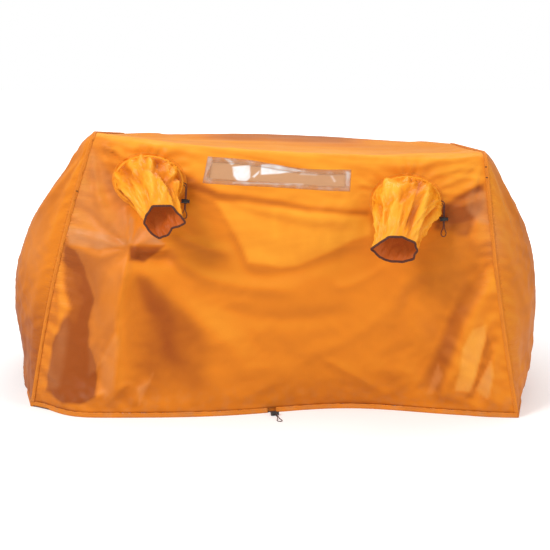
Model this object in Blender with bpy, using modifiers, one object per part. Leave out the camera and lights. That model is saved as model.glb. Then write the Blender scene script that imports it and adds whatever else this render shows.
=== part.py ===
"""Group shelter of thin coated cloth, held up from inside, with two snorkel vents and a drawn hem.

Metres, +Z up. The long front wall faces -Y, +X is its right. The hem lies flat on z = 0.
"""

import math

import bmesh
import bpy
import numpy as np
from mathutils import Matrix, Vector
from mathutils.bvhtree import BVHTree

# Cloth, gaps between neighbours, and the general plan
CLOTH = 0.0009
GAP = 0.0003
MIDDLE_Y = 0.056
FRONT_FOOT_Y = MIDDLE_Y - 0.49
BACK_FOOT_Y = MIDDLE_Y + 0.49
FRONT_RIDGE_Y = MIDDLE_Y - 0.42
BACK_RIDGE_Y = MIDDLE_Y + 0.42
LEFT_FOOT_X = -0.750
RIGHT_FOOT_X = 0.728
LEFT_PEAK_X = -0.535
RIGHT_PEAK_X = 0.622
FRONT_LEFT_HEIGHT = 0.850
FRONT_RIGHT_HEIGHT = 0.790
BACK_LEFT_HEIGHT = 0.765
BACK_RIGHT_HEIGHT = 0.730
FRONT_RIDGE_SAG = 0.020
BACK_RIDGE_HUMP = 0.028
RIDGE_RADIUS = 0.050
ROOF_SAG = 0.022
BACK_BELLY = 0.012
BACK_FOLD_DEPTH = 0.010
BACK_FOLDS = 7
LEFT_SEAM_BOW = 0.019
RIGHT_SEAM_BOW = 0.010

# Hem in plan: how far its corners and its middle are set back, and how the ends stand out
CORNER_SET_BACK = 0.120
CORNER_SET_BACK_WIDTH = 0.100
HEM_WAVE = 0.100
HEM_WAVE_X = 0.220
HEM_WAVE_WIDTH = 0.300
HEM_WAVE_RISE = 0.22
HEM_WAVE_END_U = 0.1
END_HEM_OUT = 0.035
END_BULGE = 0.170
END_BULGE_FOOT = 1.0
END_BULGE_HEAD = 0.95
END_BULGE_ROUND = 0.8

# Main folds of the front wall
STAR_PUSH = 0.028
STAR_REACH = 0.090
STAR_U = 0.175
STAR_W = 0.600
SWAG_DEPTH = 0.014
SWAG_WIDTH = 0.085
SWAG_SIDE_W = 0.62
SWAG_MIDDLE_W = 0.55
SWAG_START_U = 0.2
SWAG_END_U = 0.9
FAN_DEPTH = 0.008
FAN_FOLDS = 4.0
FAN_REACH = 0.30
FAN_WIDTH = 0.22
FOLD_END_W = 0.98
FOLD_SIDE_FADE = 0.5
FOLD_TOP_FADE = 0.7
CALM_ABOVE_WINDOW = 0.040
CALM_ROUND_VENT = 1.15
CALM_FADE = 0.4

# Hem casing and its cord
CASING_WIDTH = 0.008
CASING_HEIGHT = 0.014
CASING_WALL = 0.0012
CASING_SHOULDER = 0.0098
CASING_TOP_WIDTH = 0.0028
CORD_RADIUS = 0.00125
CORD_PITCH = 0.0031
OUTLET_X = -0.010
OUTLET_WIDTH = 0.021

# End seam binding
SEAM_RADIUS = 0.0024

# Window
WINDOW_LEFT_X = -0.191
WINDOW_WIDTH = 0.405
WINDOW_HEIGHT = 0.054
WINDOW_DROP = 0.055
WINDOW_LAP = 0.010
WINDOW_FRAME_IN = 0.005
PANE = 0.0006
FRAME_TAPE = 0.0008

# Snorkel vents
VENT_HALF_WIDTH = 0.100
VENT_HALF_HEIGHT = 0.074
LEFT_VENT_U = 0.170
LEFT_VENT_W = 0.850
RIGHT_VENT_U = 0.796
RIGHT_VENT_W = 0.815
COLLAR_IN = 0.009
COLLAR_OUT = 0.014
COLLAR_WALL = 0.0050
COLLAR_GROOVE_AT = 0.0085
SLEEVE_TOP_OUT = 0.100
SLEEVE_UNDER_OUT = 0.045
MOUTH_OUT = 0.135
MOUTH_HALF_HEIGHT = 0.045
LEFT_MOUTH_HALF_WIDTH = 0.061
LEFT_MOUTH_DROP = 0.112
LEFT_MOUTH_TILT_DEG = 13.0
LEFT_MOUTH_LEAN = 0.060
RIGHT_MOUTH_HALF_WIDTH = 0.066
RIGHT_MOUTH_DROP = 0.130
RIGHT_MOUTH_TILT_DEG = 30.0
RIGHT_MOUTH_LEAN = -0.044
SLEEVE_NARROWING = 1.5
RIM_RADIUS = 0.0030

# Cord lock
LOCK_RADIUS = 0.0065
LOCK_BORE = 0.0049
LOCK_FLOOR = 0.0016
LOCK_LENGTH = 0.0185
LOCK_CORD_AT = 0.0120
LOCK_TRAVEL = 0.0030
LOCK_CAP_RADIUS = 0.0060
LOCK_CAP = 0.0025
LOCK_CAP_EDGE = 0.0008
SPRING_WIRE = 0.00035
SPRING_TURNS = 4
HEM_LOCK_OUT = 0.036
VENT_LOCK_DROP = 0.050

# Free loops of cord in millimetres. The hem loop is half a route; the other half mirrors it
MM = 0.001
HEM_LOOP_START = -0.3
HEM_LOOP_BENDS = ((6.9, -0.2), (4.2, -1.9), (2.5, -4.6), (1.75, -8.2))
HEM_LOOP_RISE = (0.0, 0.0, 0.3, 0.8)
HEM_LOOP_STRAIGHT = 13.0
LOOP_STRAIGHT_POINTS = 6
LOOP_PAST_LOCK = 36.0
LOOP_END = ((2.6, 6.5), (5.4, 12.5), (7.4, 19.0), (6.4, 25.0), (3.3, 29.0))
LOOP_TIP = 30.2
LOOP_FALL = 15.0

# The collar loop's two ends, from the collar's side: across, up, out
VENT_LOOP_START = 10.7
VENT_LOOP_OUTER = (
    *((-2.4, 10.4, 0.0), (-1.4, 7.0, 0.2), (2.6, 3.2, 1.4)),
    *((8.2, 1.0, 2.8), (12.0, -6.0, 3.5)),
)
VENT_LOOP_INNER = (
    *((-2.4, -10.4, 0.0), (-1.4, -7.0, 0.2), (2.2, -3.6, 1.4)),
    *((6.4, -5.4, 2.8), (9.0, -11.0, 3.5)),
)
VENT_LOOP_HANG = 11.0
VENT_LOOP_LEVEL = 12.0
VENT_LOOP_STRAIGHT = 20.0
VENT_LOOP_PAST_LOCK = 22.0

# Pole pockets, seats and the webbing tab
POCKET_SEAT = 0.009
POCKET_MOUTH = 0.015
POCKET_DEPTH = 0.035
POCKET_WALL = 0.0015
POCKET_INSET_X = 0.075
POCKET_INSET_Y = 0.085
SEAT_DEPTH = 0.300
SEAT_THICKNESS = 0.0012
SEAT_END_CLEARANCE = 0.012
SEAT_CORNER = 0.030
TAB_WIDTH = 0.012
TAB_LENGTH = 0.022
TAB_THICKNESS = 0.0015
TAB_Y = MIDDLE_Y - 0.200
TAB_TURN = 0.00135

# Faces across each stretch of the cloth
LEFT_COLUMNS = 6
WINDOW_COLUMNS = 5
RIGHT_COLUMNS = 6
LOWER_ROWS = 6
ROOF_ROWS = 4
END_COLUMNS = 12
FRAME_CORNER_COLUMN = 2
COLLAR_FACETS = 28
SLEEVE_FACETS = 24
SLEEVE_RINGS = 7
TURNED_FACETS = 16
SPRING_FACETS = 8
TAB_FACETS = 6
SEAT_CORNER_FACETS = 4
ROUTE_FACETS = 12
PROBE = 0.004
SEAM_PROBE = 0.02

PANEL_FOOT_Z = CASING_HEIGHT + GAP
END_BULGE_AT = END_BULGE_FOOT / (END_BULGE_FOOT + END_BULGE_HEAD)
END_BULGE_PEAK = END_BULGE_AT**END_BULGE_FOOT * (1 - END_BULGE_AT) ** END_BULGE_HEAD
SLOT_HALF_LENGTH = CORD_PITCH / 2 + CORD_RADIUS + GAP
SLOT_HALF_WIDTH = CORD_RADIUS + GAP


def clear_scene():
    for item in list(bpy.data.objects):
        bpy.data.objects.remove(item, do_unlink=True)


def collection(name):
    made = bpy.data.collections.new(name)
    bpy.context.scene.collection.children.link(made)
    return made


def material(name, colour, roughness, metallic=0.0, alpha=1.0):
    made = bpy.data.materials.new(name)
    made.use_nodes = True
    shader = made.node_tree.nodes["Principled BSDF"]
    shader.inputs["Base Color"].default_value = (*colour, 1.0)
    shader.inputs["Roughness"].default_value = roughness
    shader.inputs["Metallic"].default_value = metallic
    shader.inputs["Alpha"].default_value = alpha
    made.diffuse_color = (*colour, alpha)
    return made


def bump(distance, width):
    return math.exp(-((distance / width) ** 2))


def mix(a, b, share):
    return a + (b - a) * share


# The four corner seams, from the hem (w = 0) to the roof corner (w = 1)
def ridge_height(u, face):
    if face == "front":
        return mix(FRONT_LEFT_HEIGHT, FRONT_RIGHT_HEIGHT, u) - FRONT_RIDGE_SAG * 4 * u * (1 - u)
    return mix(BACK_LEFT_HEIGHT, BACK_RIGHT_HEIGHT, u) + BACK_RIDGE_HUMP * 4 * u * (1 - u)


def wall_x(u, w):
    left = mix(LEFT_FOOT_X, LEFT_PEAK_X, w) - LEFT_SEAM_BOW * math.sin(math.pi * w)
    right = mix(RIGHT_FOOT_X, RIGHT_PEAK_X, w) - RIGHT_SEAM_BOW * math.sin(math.pi * w)
    return mix(left, right, u)


def wall_z(u, w, face):
    return mix(PANEL_FOOT_Z, ridge_height(u, face), w)


def away_from_openings(u, w):
    """1 where the front wall may fold, 0 near the window and the vents."""
    x = wall_x(u, w)
    z = wall_z(u, w, "front")
    window_x = WINDOW_LEFT_X + WINDOW_WIDTH / 2
    window_z = wall_z(0.5, 1.0, "front") - WINDOW_DROP - WINDOW_HEIGHT / 2
    out_x = max(0.0, abs(x - window_x) - WINDOW_WIDTH / 2 - WINDOW_LAP)
    out_z = max(0.0, abs(z - window_z) - WINDOW_HEIGHT / 2 - CALM_ABOVE_WINDOW)
    share = 1 - bump(math.hypot(out_x, out_z), WINDOW_HEIGHT / 2)
    for vent_u, vent_w in ((LEFT_VENT_U, LEFT_VENT_W), (RIGHT_VENT_U, RIGHT_VENT_W)):
        across = (x - wall_x(vent_u, vent_w)) / VENT_HALF_WIDTH
        along = (z - wall_z(vent_u, vent_w, "front")) / VENT_HALF_HEIGHT
        out = max(0.0, math.hypot(across, along) - CALM_ROUND_VENT)
        share *= 1 - bump(out, CALM_FADE)
    return share


def front_relief(u, w):
    """How far the front wall's folds stand out of its plain surface."""
    x = wall_x(u, w)
    z = wall_z(u, w, "front")
    star = math.hypot(x - wall_x(STAR_U, STAR_W), z - wall_z(STAR_U, STAR_W, "front"))
    relief = STAR_PUSH * math.exp(-star / STAR_REACH)
    swag_w = mix(SWAG_SIDE_W, SWAG_MIDDLE_W, math.sin(math.pi * u))
    across = (u - SWAG_START_U) / (SWAG_END_U - SWAG_START_U)
    across = math.sin(math.pi * min(1.0, max(0.0, across)))
    relief -= SWAG_DEPTH * bump((w - swag_w) * FRONT_LEFT_HEIGHT, SWAG_WIDTH) * across
    turn = math.atan2(RIGHT_FOOT_X - x, z) / (math.pi / 2)
    reach = math.hypot(RIGHT_FOOT_X - x, z)
    fan = math.sin(2 * math.pi * FAN_FOLDS * turn)
    relief += FAN_DEPTH * fan * bump(reach - FAN_REACH, FAN_WIDTH)
    relief *= math.sin(math.pi * u) ** FOLD_SIDE_FADE
    relief *= math.sin(math.pi * min(w, FOLD_END_W)) ** FOLD_TOP_FADE
    return relief * away_from_openings(u, w)


def plain_front(u, w):
    corner = CORNER_SET_BACK * bump(u * (RIGHT_FOOT_X - LEFT_FOOT_X), CORNER_SET_BACK_WIDTH)
    wave = HEM_WAVE * bump(wall_x(u, 0.0) - HEM_WAVE_X, HEM_WAVE_WIDTH)
    ends = min(1.0, u / HEM_WAVE_END_U, (1 - u) / HEM_WAVE_END_U)
    y = mix(FRONT_FOOT_Y, FRONT_RIDGE_Y, w)
    y += corner * (1 - w) + wave * ends * math.exp(-w / HEM_WAVE_RISE) * (1 - w)
    y -= front_relief(u, w)
    return Vector((wall_x(u, w), y, wall_z(u, w, "front")))


def plain_back(u, w):
    """The back wall, w = 0 at the hem; it hangs in long shallow folds."""
    y = mix(BACK_FOOT_Y, BACK_RIDGE_Y, w)
    edge = math.sin(math.pi * u) * math.sin(math.pi * w)
    y += edge * (BACK_BELLY + BACK_FOLD_DEPTH * math.sin(BACK_FOLDS * math.pi * u))
    return Vector((wall_x(u, w), y, wall_z(u, w, "back")))


def plain_roof(u, w):
    """The roof, w = 0 at the front ridge and 1 at the back one."""
    point = plain_front(u, 1.0).lerp(plain_back(u, 1.0), w)
    point.z -= ROOF_SAG * math.sin(math.pi * w) * math.sin(math.pi * u) ** 0.5
    return point


def rounded(before, corner, after, share):
    """A point of the ridge's round, share 0 at its start and 1 at its end."""
    first = before.lerp(corner, share)
    return first.lerp(corner.lerp(after, share), share)


def cloth_point(u, row):
    """The main panel's middle surface: row 0 to 1 front, 1 to 2 roof, 2 to 3 back."""
    wall = RIDGE_RADIUS / FRONT_LEFT_HEIGHT
    roof = RIDGE_RADIUS / (BACK_RIDGE_Y - FRONT_RIDGE_Y)
    if 1 - wall < row < 1 + roof:
        step = (row - 1) / (wall if row < 1 else roof)
        ends = plain_front(u, 1 - wall), plain_front(u, 1.0), plain_roof(u, roof)
        return rounded(*ends, (1 + step) / 2)
    if 2 - roof < row < 2 + wall:
        step = (row - 2) / (roof if row < 2 else wall)
        ends = plain_roof(u, 1 - roof), plain_back(u, 1.0), plain_back(u, 1 - wall)
        return rounded(*ends, (1 + step) / 2)
    if row <= 1:
        return plain_front(u, row)
    if row <= 2:
        return plain_roof(u, row - 1)
    return plain_back(u, 3 - row)


def cloth_frame(u, row):
    """Along +X, outwards and up the cloth, as unit vectors."""
    along = (cloth_point(u + PROBE, row) - cloth_point(u - PROBE, row)).normalized()
    up = cloth_point(u, row + PROBE) - cloth_point(u, row - PROBE)
    out = along.cross(up).normalized()
    return along, out, out.cross(along).normalized()


# Where the window stands in the wall, and the rows and columns that follow its edges
def stretch(start, end, faces):
    return [mix(start, end, i / faces) for i in range(faces)]


def u_at(x, w):
    return (x - wall_x(0.0, w)) / (wall_x(1.0, w) - wall_x(0.0, w))


WALL_HEIGHT = ridge_height(0.5, "front") - PANEL_FOOT_Z
WINDOW_TOP = 1 - WINDOW_DROP / WALL_HEIGHT
WINDOW_BOTTOM = WINDOW_TOP - WINDOW_HEIGHT / WALL_HEIGHT
WINDOW_START = u_at(WINDOW_LEFT_X, WINDOW_TOP)
WINDOW_END = u_at(WINDOW_LEFT_X + WINDOW_WIDTH, WINDOW_TOP)
LAP_U = WINDOW_LAP / (RIGHT_PEAK_X - LEFT_PEAK_X)
LAP_W = WINDOW_LAP / WALL_HEIGHT
FRAME_U = WINDOW_FRAME_IN / (RIGHT_PEAK_X - LEFT_PEAK_X)
FRAME_W = WINDOW_FRAME_IN / WALL_HEIGHT

COLUMNS = (
    stretch(0.0, WINDOW_START - LAP_U, LEFT_COLUMNS)
    + [WINDOW_START - LAP_U]
    + stretch(WINDOW_START, WINDOW_END, WINDOW_COLUMNS)
    + [WINDOW_END]
    + stretch(WINDOW_END + LAP_U, 1.0, RIGHT_COLUMNS)
    + [1.0]
)
FRONT_ROWS = (
    stretch(0.0, WINDOW_BOTTOM - LAP_W, LOWER_ROWS)
    + [WINDOW_BOTTOM - LAP_W, WINDOW_BOTTOM, WINDOW_TOP, WINDOW_TOP + LAP_W]
    + [1 - RIDGE_RADIUS / FRONT_LEFT_HEIGHT / 2]
)
ROOF_FIRST = RIDGE_RADIUS / (BACK_RIDGE_Y - FRONT_RIDGE_Y)
ROWS = (
    FRONT_ROWS
    + [1.0]
    + stretch(1 + ROOF_FIRST, 2 - ROOF_FIRST, ROOF_ROWS - 2)
    + [2 - ROOF_FIRST, 2.0]
    + [3 - w for w in reversed(FRONT_ROWS)]
)
WALL_FACES = len(FRONT_ROWS)


# Mesh helpers
def place_in(group, made, finish):
    group.objects.link(made)
    made.data.materials.append(finish)
    return made


def sheet(name, columns, rows, place, group, finish, leave_out=None):
    """A grid of faces whose corner (i, j) lies at place(i, j)."""
    bm = bmesh.new()
    bmesh.ops.create_grid(bm, x_segments=columns, y_segments=rows, size=0.5)
    unwanted = []
    for face in bm.faces:
        centre = face.calc_center_median()
        cell = int((centre.x + 0.5) * columns), int((centre.y + 0.5) * rows)
        if leave_out and leave_out(*cell):
            unwanted.append(face)
    bmesh.ops.delete(bm, geom=unwanted, context="FACES")
    for vert in bm.verts:
        i = round((vert.co.x + 0.5) * columns)
        j = round((vert.co.y + 0.5) * rows)
        vert.co = place(i, j)
    bmesh.ops.remove_doubles(bm, verts=bm.verts, dist=1e-7)
    mesh = bpy.data.meshes.new(name)
    bm.to_mesh(mesh)
    bm.free()
    mesh.shade_smooth()
    return place_in(group, bpy.data.objects.new(name, mesh), finish)


def thicken(made, thickness, offset=0.0):
    shell = made.modifiers.new("Wall", "SOLIDIFY")
    shell.thickness = thickness
    shell.offset = offset
    shell.use_even_offset = True
    return made


def tube(name, points, radius, resolution, group, finish, cyclic=False):
    curve = bpy.data.curves.new(name, "CURVE")
    curve.dimensions = "3D"
    curve.bevel_depth = radius
    curve.bevel_resolution = resolution
    curve.use_fill_caps = True
    spline = curve.splines.new("POLY")
    spline.points.add(len(points) - 1)
    for knot, point in zip(spline.points, points):
        knot.co = (*point, 1.0)
    spline.use_cyclic_u = cyclic
    return place_in(group, bpy.data.objects.new(name, curve), finish)


def turned(name, profile, steps, group, finish):
    """A profile of (radius, height) corners turned round Z; it runs from the top down outside."""
    bm = bmesh.new()
    corners = [bm.verts.new((radius, 0.0, height)) for radius, height in profile]
    for a, b in zip(corners, corners[1:]):
        bm.edges.new((a, b))
    mesh = bpy.data.meshes.new(name)
    bm.to_mesh(mesh)
    bm.free()
    made = place_in(group, bpy.data.objects.new(name, mesh), finish)
    screw = made.modifiers.new("Turn", "SCREW")
    screw.steps = steps
    screw.render_steps = steps
    screw.use_merge_vertices = True
    screw.merge_threshold = 1e-5
    return made


def cut(made, cutter):
    cutter.hide_render = True
    cutter.display_type = "WIRE"
    difference = made.modifiers.new("Cut", "BOOLEAN")
    difference.operation = "DIFFERENCE"
    difference.object = cutter
    return made


def block(name, low, high, group, finish):
    bm = bmesh.new()
    bmesh.ops.create_cube(bm, size=1.0)
    centre = (Vector(low) + Vector(high)) / 2
    size = Vector(high) - Vector(low)
    bmesh.ops.transform(bm, matrix=Matrix.Diagonal((*size, 1.0)), verts=bm.verts)
    mesh = bpy.data.meshes.new(name)
    bm.to_mesh(mesh)
    bm.free()
    made = place_in(group, bpy.data.objects.new(name, mesh), finish)
    made.location = centre
    return made


def smooth_route(points, step):
    """Points a step apart on a smooth curve through the route's own points."""
    knots = [2 * points[0] - points[1], *points, 2 * points[-1] - points[-2]]
    fine = []
    for a, b, c, d in zip(knots, knots[1:], knots[2:], knots[3:]):
        for t in np.linspace(0.0, 1.0, ROUTE_FACETS, endpoint=False):
            curve = 2 * b + (c - a) * t
            curve += (2 * a - 5 * b + 4 * c - d) * t**2
            curve += (3 * b - a - 3 * c + d) * t**3
            fine.append(curve / 2)
    fine.append(points[-1])
    travelled = [0.0]
    for a, b in zip(fine, fine[1:]):
        travelled.append(travelled[-1] + (b - a).length)
    count = max(4, round(travelled[-1] / step))
    wanted = np.linspace(0.0, travelled[-1], count + 1)
    axes = [np.interp(wanted, travelled, [p[k] for p in fine]) for k in range(3)]
    return [Vector(point) for point in zip(*axes)]


# Cloth panels and their seams
def seam_points(u):
    """The seam's axis at each row of the main panel."""
    return [cloth_point(u, row) for row in ROWS]


def set_off(point, inwards, before, after, distance):
    """A panel edge's point, set off its seam's axis towards the panel."""
    tangent = (after - before).normalized()
    direction = (inwards - point) - tangent * (inwards - point).dot(tangent)
    turn = (after - point).normalized().angle((point - before).normalized(), 0.0)
    return point + direction.normalized() * distance / math.cos(turn / 2)


def off_seam(seam, k, inwards):
    before = seam[max(k - 1, 0)]
    after = seam[min(k + 1, len(seam) - 1)]
    point = set_off(seam[k], inwards, before, after, SEAM_RADIUS + GAP)
    if k in (0, len(seam) - 1):
        point.z = PANEL_FOOT_Z
    return point


def build_main_panel(group, cutters, finish):
    seams = {0: seam_points(0.0), len(COLUMNS) - 1: seam_points(1.0)}
    first = COLUMNS.index(WINDOW_START)
    last = COLUMNS.index(WINDOW_END)
    window_row = FRONT_ROWS.index(WINDOW_BOTTOM)

    def place(i, j):
        if i in seams:
            inwards = cloth_point(SEAM_PROBE if i == 0 else 1 - SEAM_PROBE, ROWS[j])
            return off_seam(seams[i], j, inwards)
        return cloth_point(COLUMNS[i], ROWS[j])

    def is_window(i, j):
        return first <= i < last and j == window_row

    counts = len(COLUMNS) - 1, len(ROWS) - 1
    panel = sheet("main_panel", *counts, place, group, finish, is_window)
    thicken(panel, CLOTH)
    for side, frame in vent_frames().items():
        bore = bmesh.new()
        bmesh.ops.create_cone(
            bore, cap_ends=True, segments=COLLAR_FACETS, radius1=1.0, radius2=1.0, depth=1.0
        )
        size = VENT_HALF_WIDTH, VENT_HALF_HEIGHT, 6 * (COLLAR_IN + COLLAR_OUT)
        bmesh.ops.transform(bore, matrix=Matrix.Diagonal((*size, 1.0)), verts=bore.verts)
        mesh = bpy.data.meshes.new(side + "_vent_hole")
        bore.to_mesh(mesh)
        bore.free()
        cutter = bpy.data.objects.new(side + "_vent_hole", mesh)
        cutters.objects.link(cutter)
        cutter.matrix_world = frame
        cut(panel, cutter)
    return panel


def end_hem(side, t):
    """The end's hem line: straight along its middle, drawn in to both corners."""
    u = 0.0 if side == "left" else 1.0
    front = plain_front(u, 0.0)
    back = plain_back(u, 0.0)
    out = -END_HEM_OUT if side == "left" else END_HEM_OUT
    corner = FRAME_CORNER_COLUMN / END_COLUMNS
    share = min(1.0, t / corner, (1 - t) / corner)
    point = front.lerp(back, t)
    point.x = mix(point.x, (LEFT_FOOT_X if side == "left" else RIGHT_FOOT_X) + out, share)
    return point


def build_end_panel(side, group, finish):
    u = 0.0 if side == "left" else 1.0
    sign = -1 if side == "left" else 1
    seam = seam_points(u)
    top = seam[WALL_FACES : len(seam) - WALL_FACES]
    split = END_COLUMNS // (len(top) - 1)
    rows = WALL_FACES

    def edge_point(i, j):
        """A point of the outline, on the seam's axis or the hem's line."""
        if j == 0:
            return end_hem(side, i / END_COLUMNS)
        if i == 0:
            return seam[j]
        if i == END_COLUMNS:
            return seam[len(seam) - 1 - j]
        low, part = divmod(i, split)
        return top[low].lerp(top[min(low + 1, len(top) - 1)], part / split)

    def inner(i, j):
        t = i / END_COLUMNS
        w = ROWS[j]
        corners = edge_point(0, 0), edge_point(END_COLUMNS, 0)
        tops = edge_point(0, rows), edge_point(END_COLUMNS, rows)
        across = edge_point(0, j).lerp(edge_point(END_COLUMNS, j), t)
        along = edge_point(i, 0).lerp(edge_point(i, rows), w)
        flat = corners[0].lerp(corners[1], t).lerp(tops[0].lerp(tops[1], t), w)
        point = across + along - flat
        swell = w**END_BULGE_FOOT * (1 - w) ** END_BULGE_HEAD / END_BULGE_PEAK
        point.x += sign * END_BULGE * swell * math.sin(math.pi * t) ** END_BULGE_ROUND
        return point

    def place(i, j):
        if side == "right":
            i = END_COLUMNS - i
        on_side = i in (0, END_COLUMNS)
        if not on_side and 0 < j < rows:
            return inner(i, j)
        if j == 0 and not on_side:
            return edge_point(i, j)
        inwards = inner(
            min(max(i, 1), END_COLUMNS - 1), min(j, rows - 1) if not on_side or j == rows else j
        )
        if j == 0:
            inwards = edge_point(1 if i == 0 else END_COLUMNS - 1, 0)
        if on_side:
            k = j if i == 0 else len(seam) - 1 - j
            return off_seam(seam, k, inwards)
        before, after = edge_point(i - 1, j), edge_point(i + 1, j)
        return set_off(edge_point(i, j), inwards, before, after, SEAM_RADIUS + GAP)

    name = side + "_end_panel"
    return thicken(sheet(name, END_COLUMNS, rows, place, group, finish), CLOTH)


def build_seam(side, group, finish):
    points = seam_points(0.0 if side == "left" else 1.0)
    points[0] = points[0] + (points[1] - points[0]).normalized() * SEAM_RADIUS
    points[-1] = points[-1] + (points[-2] - points[-1]).normalized() * SEAM_RADIUS
    return tube(side + "_end_seam", points, SEAM_RADIUS, 1, group, finish)


# Window
def window_patch(name, columns, rows, offset, thickness, group, finish, leave_out=None):
    def place(i, j):
        out = cloth_frame(columns[i], rows[j])[1]
        return cloth_point(columns[i], rows[j]) + out * offset

    counts = len(columns) - 1, len(rows) - 1
    patch = sheet(name, *counts, place, group, finish, leave_out)
    return thicken(patch, thickness)


def build_window(group, film, tape):
    inside = COLUMNS[COLUMNS.index(WINDOW_START) + 1 : COLUMNS.index(WINDOW_END)]
    columns = [WINDOW_START - LAP_U, WINDOW_START, *inside, WINDOW_END, WINDOW_END + LAP_U]
    rows = [WINDOW_BOTTOM - LAP_W, WINDOW_BOTTOM, WINDOW_TOP, WINDOW_TOP + LAP_W]
    behind = -(CLOTH + PANE) / 2 - GAP
    window_patch("window_pane", columns, rows, behind, PANE, group, film)
    columns = [
        *(WINDOW_START - LAP_U, WINDOW_START, WINDOW_START + FRAME_U),
        *inside,
        *(WINDOW_END - FRAME_U, WINDOW_END, WINDOW_END + LAP_U),
    ]
    rows = [
        *(WINDOW_BOTTOM - LAP_W, WINDOW_BOTTOM, WINDOW_BOTTOM + FRAME_W),
        *(WINDOW_TOP - FRAME_W, WINDOW_TOP, WINDOW_TOP + LAP_W),
    ]

    def is_open(i, j):
        return 2 <= i < len(columns) - 3 and 2 <= j < len(rows) - 3

    before = (CLOTH + FRAME_TAPE) / 2 + GAP
    window_patch("window_binding", columns, rows, before, FRAME_TAPE, group, tape, is_open)


# Hem casings and the drawcord in them
def hem_line(stretch_name):
    """The hem's plan points from corner to corner, on the ground."""
    if stretch_name == "front":
        line = [plain_front(u, 0.0) for u in COLUMNS]
    elif stretch_name == "back":
        line = [plain_back(u, 0.0) for u in reversed(COLUMNS)]
    else:
        corner = FRAME_CORNER_COLUMN / END_COLUMNS
        stops = [0.0, corner, 1 - corner, 1.0]
        if stretch_name == "left":
            stops.reverse()
        line = [end_hem(stretch_name, t) for t in stops]
    return [Vector((point.x, point.y, 0.0)) for point in line]


def shortened(line, start, end):
    """The line with these lengths taken off its two ends."""
    line = list(line)
    for _ in range(2):
        amount = start
        while (line[1] - line[0]).length <= amount:
            amount -= (line[1] - line[0]).length
            line.pop(0)
        line[0] = line[0] + (line[1] - line[0]).normalized() * amount
        line.reverse()
        start, end = end, start
    return line


def corner_cut(arriving, leaving):
    """What each casing gives up at a corner, so that they stay a gap apart."""
    turn = (arriving[-1] - arriving[-2]).angle(leaving[1] - leaving[0])
    return CASING_WIDTH / 2 * math.tan(turn / 2) + GAP


def split_at_outlet(line):
    """The front hem line left and right of the drawcord's outlet."""
    for k, (a, b) in enumerate(zip(line, line[1:])):
        if a.x <= OUTLET_X < b.x:
            middle = a.lerp(b, (OUTLET_X - a.x) / (b.x - a.x))
            return line[: k + 1] + [middle], [middle] + line[k + 1 :]
    raise ValueError("the outlet lies outside the front hem")


def build_casing(name, line, group, finish):
    half = CASING_WIDTH / 2
    chamfer = CASING_WALL
    profile = [
        (-half + chamfer, 0.0),
        (half - chamfer, 0.0),
        (half, chamfer),
        (half, CASING_SHOULDER),
        (CASING_TOP_WIDTH / 2, CASING_HEIGHT),
        (-CASING_TOP_WIDTH / 2, CASING_HEIGHT),
        (-half, CASING_SHOULDER),
        (-half, chamfer),
    ]

    def place(i, j):
        before = line[max(i - 1, 0)]
        after = line[min(i + 1, len(line) - 1)]
        along = (after - before).normalized()
        sideways = Vector((along.y, -along.x, 0.0))
        turn = (after - line[i]).angle(line[i] - before, 0.0) if 0 < i < len(line) - 1 else 0.0
        x, z = profile[j % len(profile)]
        return line[i] + sideways * x / math.cos(turn / 2) + Vector((0.0, 0.0, z))

    casing = sheet(name, len(line) - 1, len(profile), place, group, finish)
    return thicken(casing, CASING_WALL, offset=-1.0)


def hem_lines():
    order = ["front", "right", "back", "left"]
    lines = {name: hem_line(name) for name in order}
    cuts = [corner_cut(lines[a], lines[b]) for a, b in zip(order, order[1:] + order[:1])]
    starts = dict(zip(order, cuts[-1:] + cuts[:-1]))
    ends = dict(zip(order, cuts))
    return lines, starts, ends


def build_hem(group, cloth, cord):
    lines, starts, ends = hem_lines()
    left, right = split_at_outlet(lines["front"])
    half = OUTLET_WIDTH / 2
    pieces = {
        "hem_casing_front_left": shortened(left, starts["front"], half),
        "hem_casing_front_right": shortened(right, half, ends["front"]),
        "hem_casing_right": shortened(lines["right"], starts["right"], ends["right"]),
        "hem_casing_back": shortened(lines["back"], starts["back"], ends["back"]),
        "hem_casing_left": shortened(lines["left"], starts["left"], ends["left"]),
    }
    for name, line in pieces.items():
        build_casing(name, line, group, cloth)
    lift = Vector((0.0, 0.0, cord_height()))
    inside = shortened(right, half, 0.0)[:-1] + lines["right"][:-1] + lines["back"][:-1]
    inside += lines["left"][:-1] + shortened(left, 0.0, half)
    tube("hem_drawcord", [point + lift for point in inside], CORD_RADIUS, 0, group, cord)


def cord_height():
    return CASING_WALL + GAP + CORD_RADIUS


def outlet_frame():
    """The outlet's middle on the ground: X along the hem, Y into the shelter."""
    left, right = split_at_outlet(hem_line("front"))
    along = (right[1] - right[0]).normalized()
    inwards = Vector((-along.y, along.x, 0.0))
    frame = Matrix((along, inwards, Vector((0.0, 0.0, 1.0)))).transposed().to_4x4()
    frame.translation = right[0]
    return frame


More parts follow.
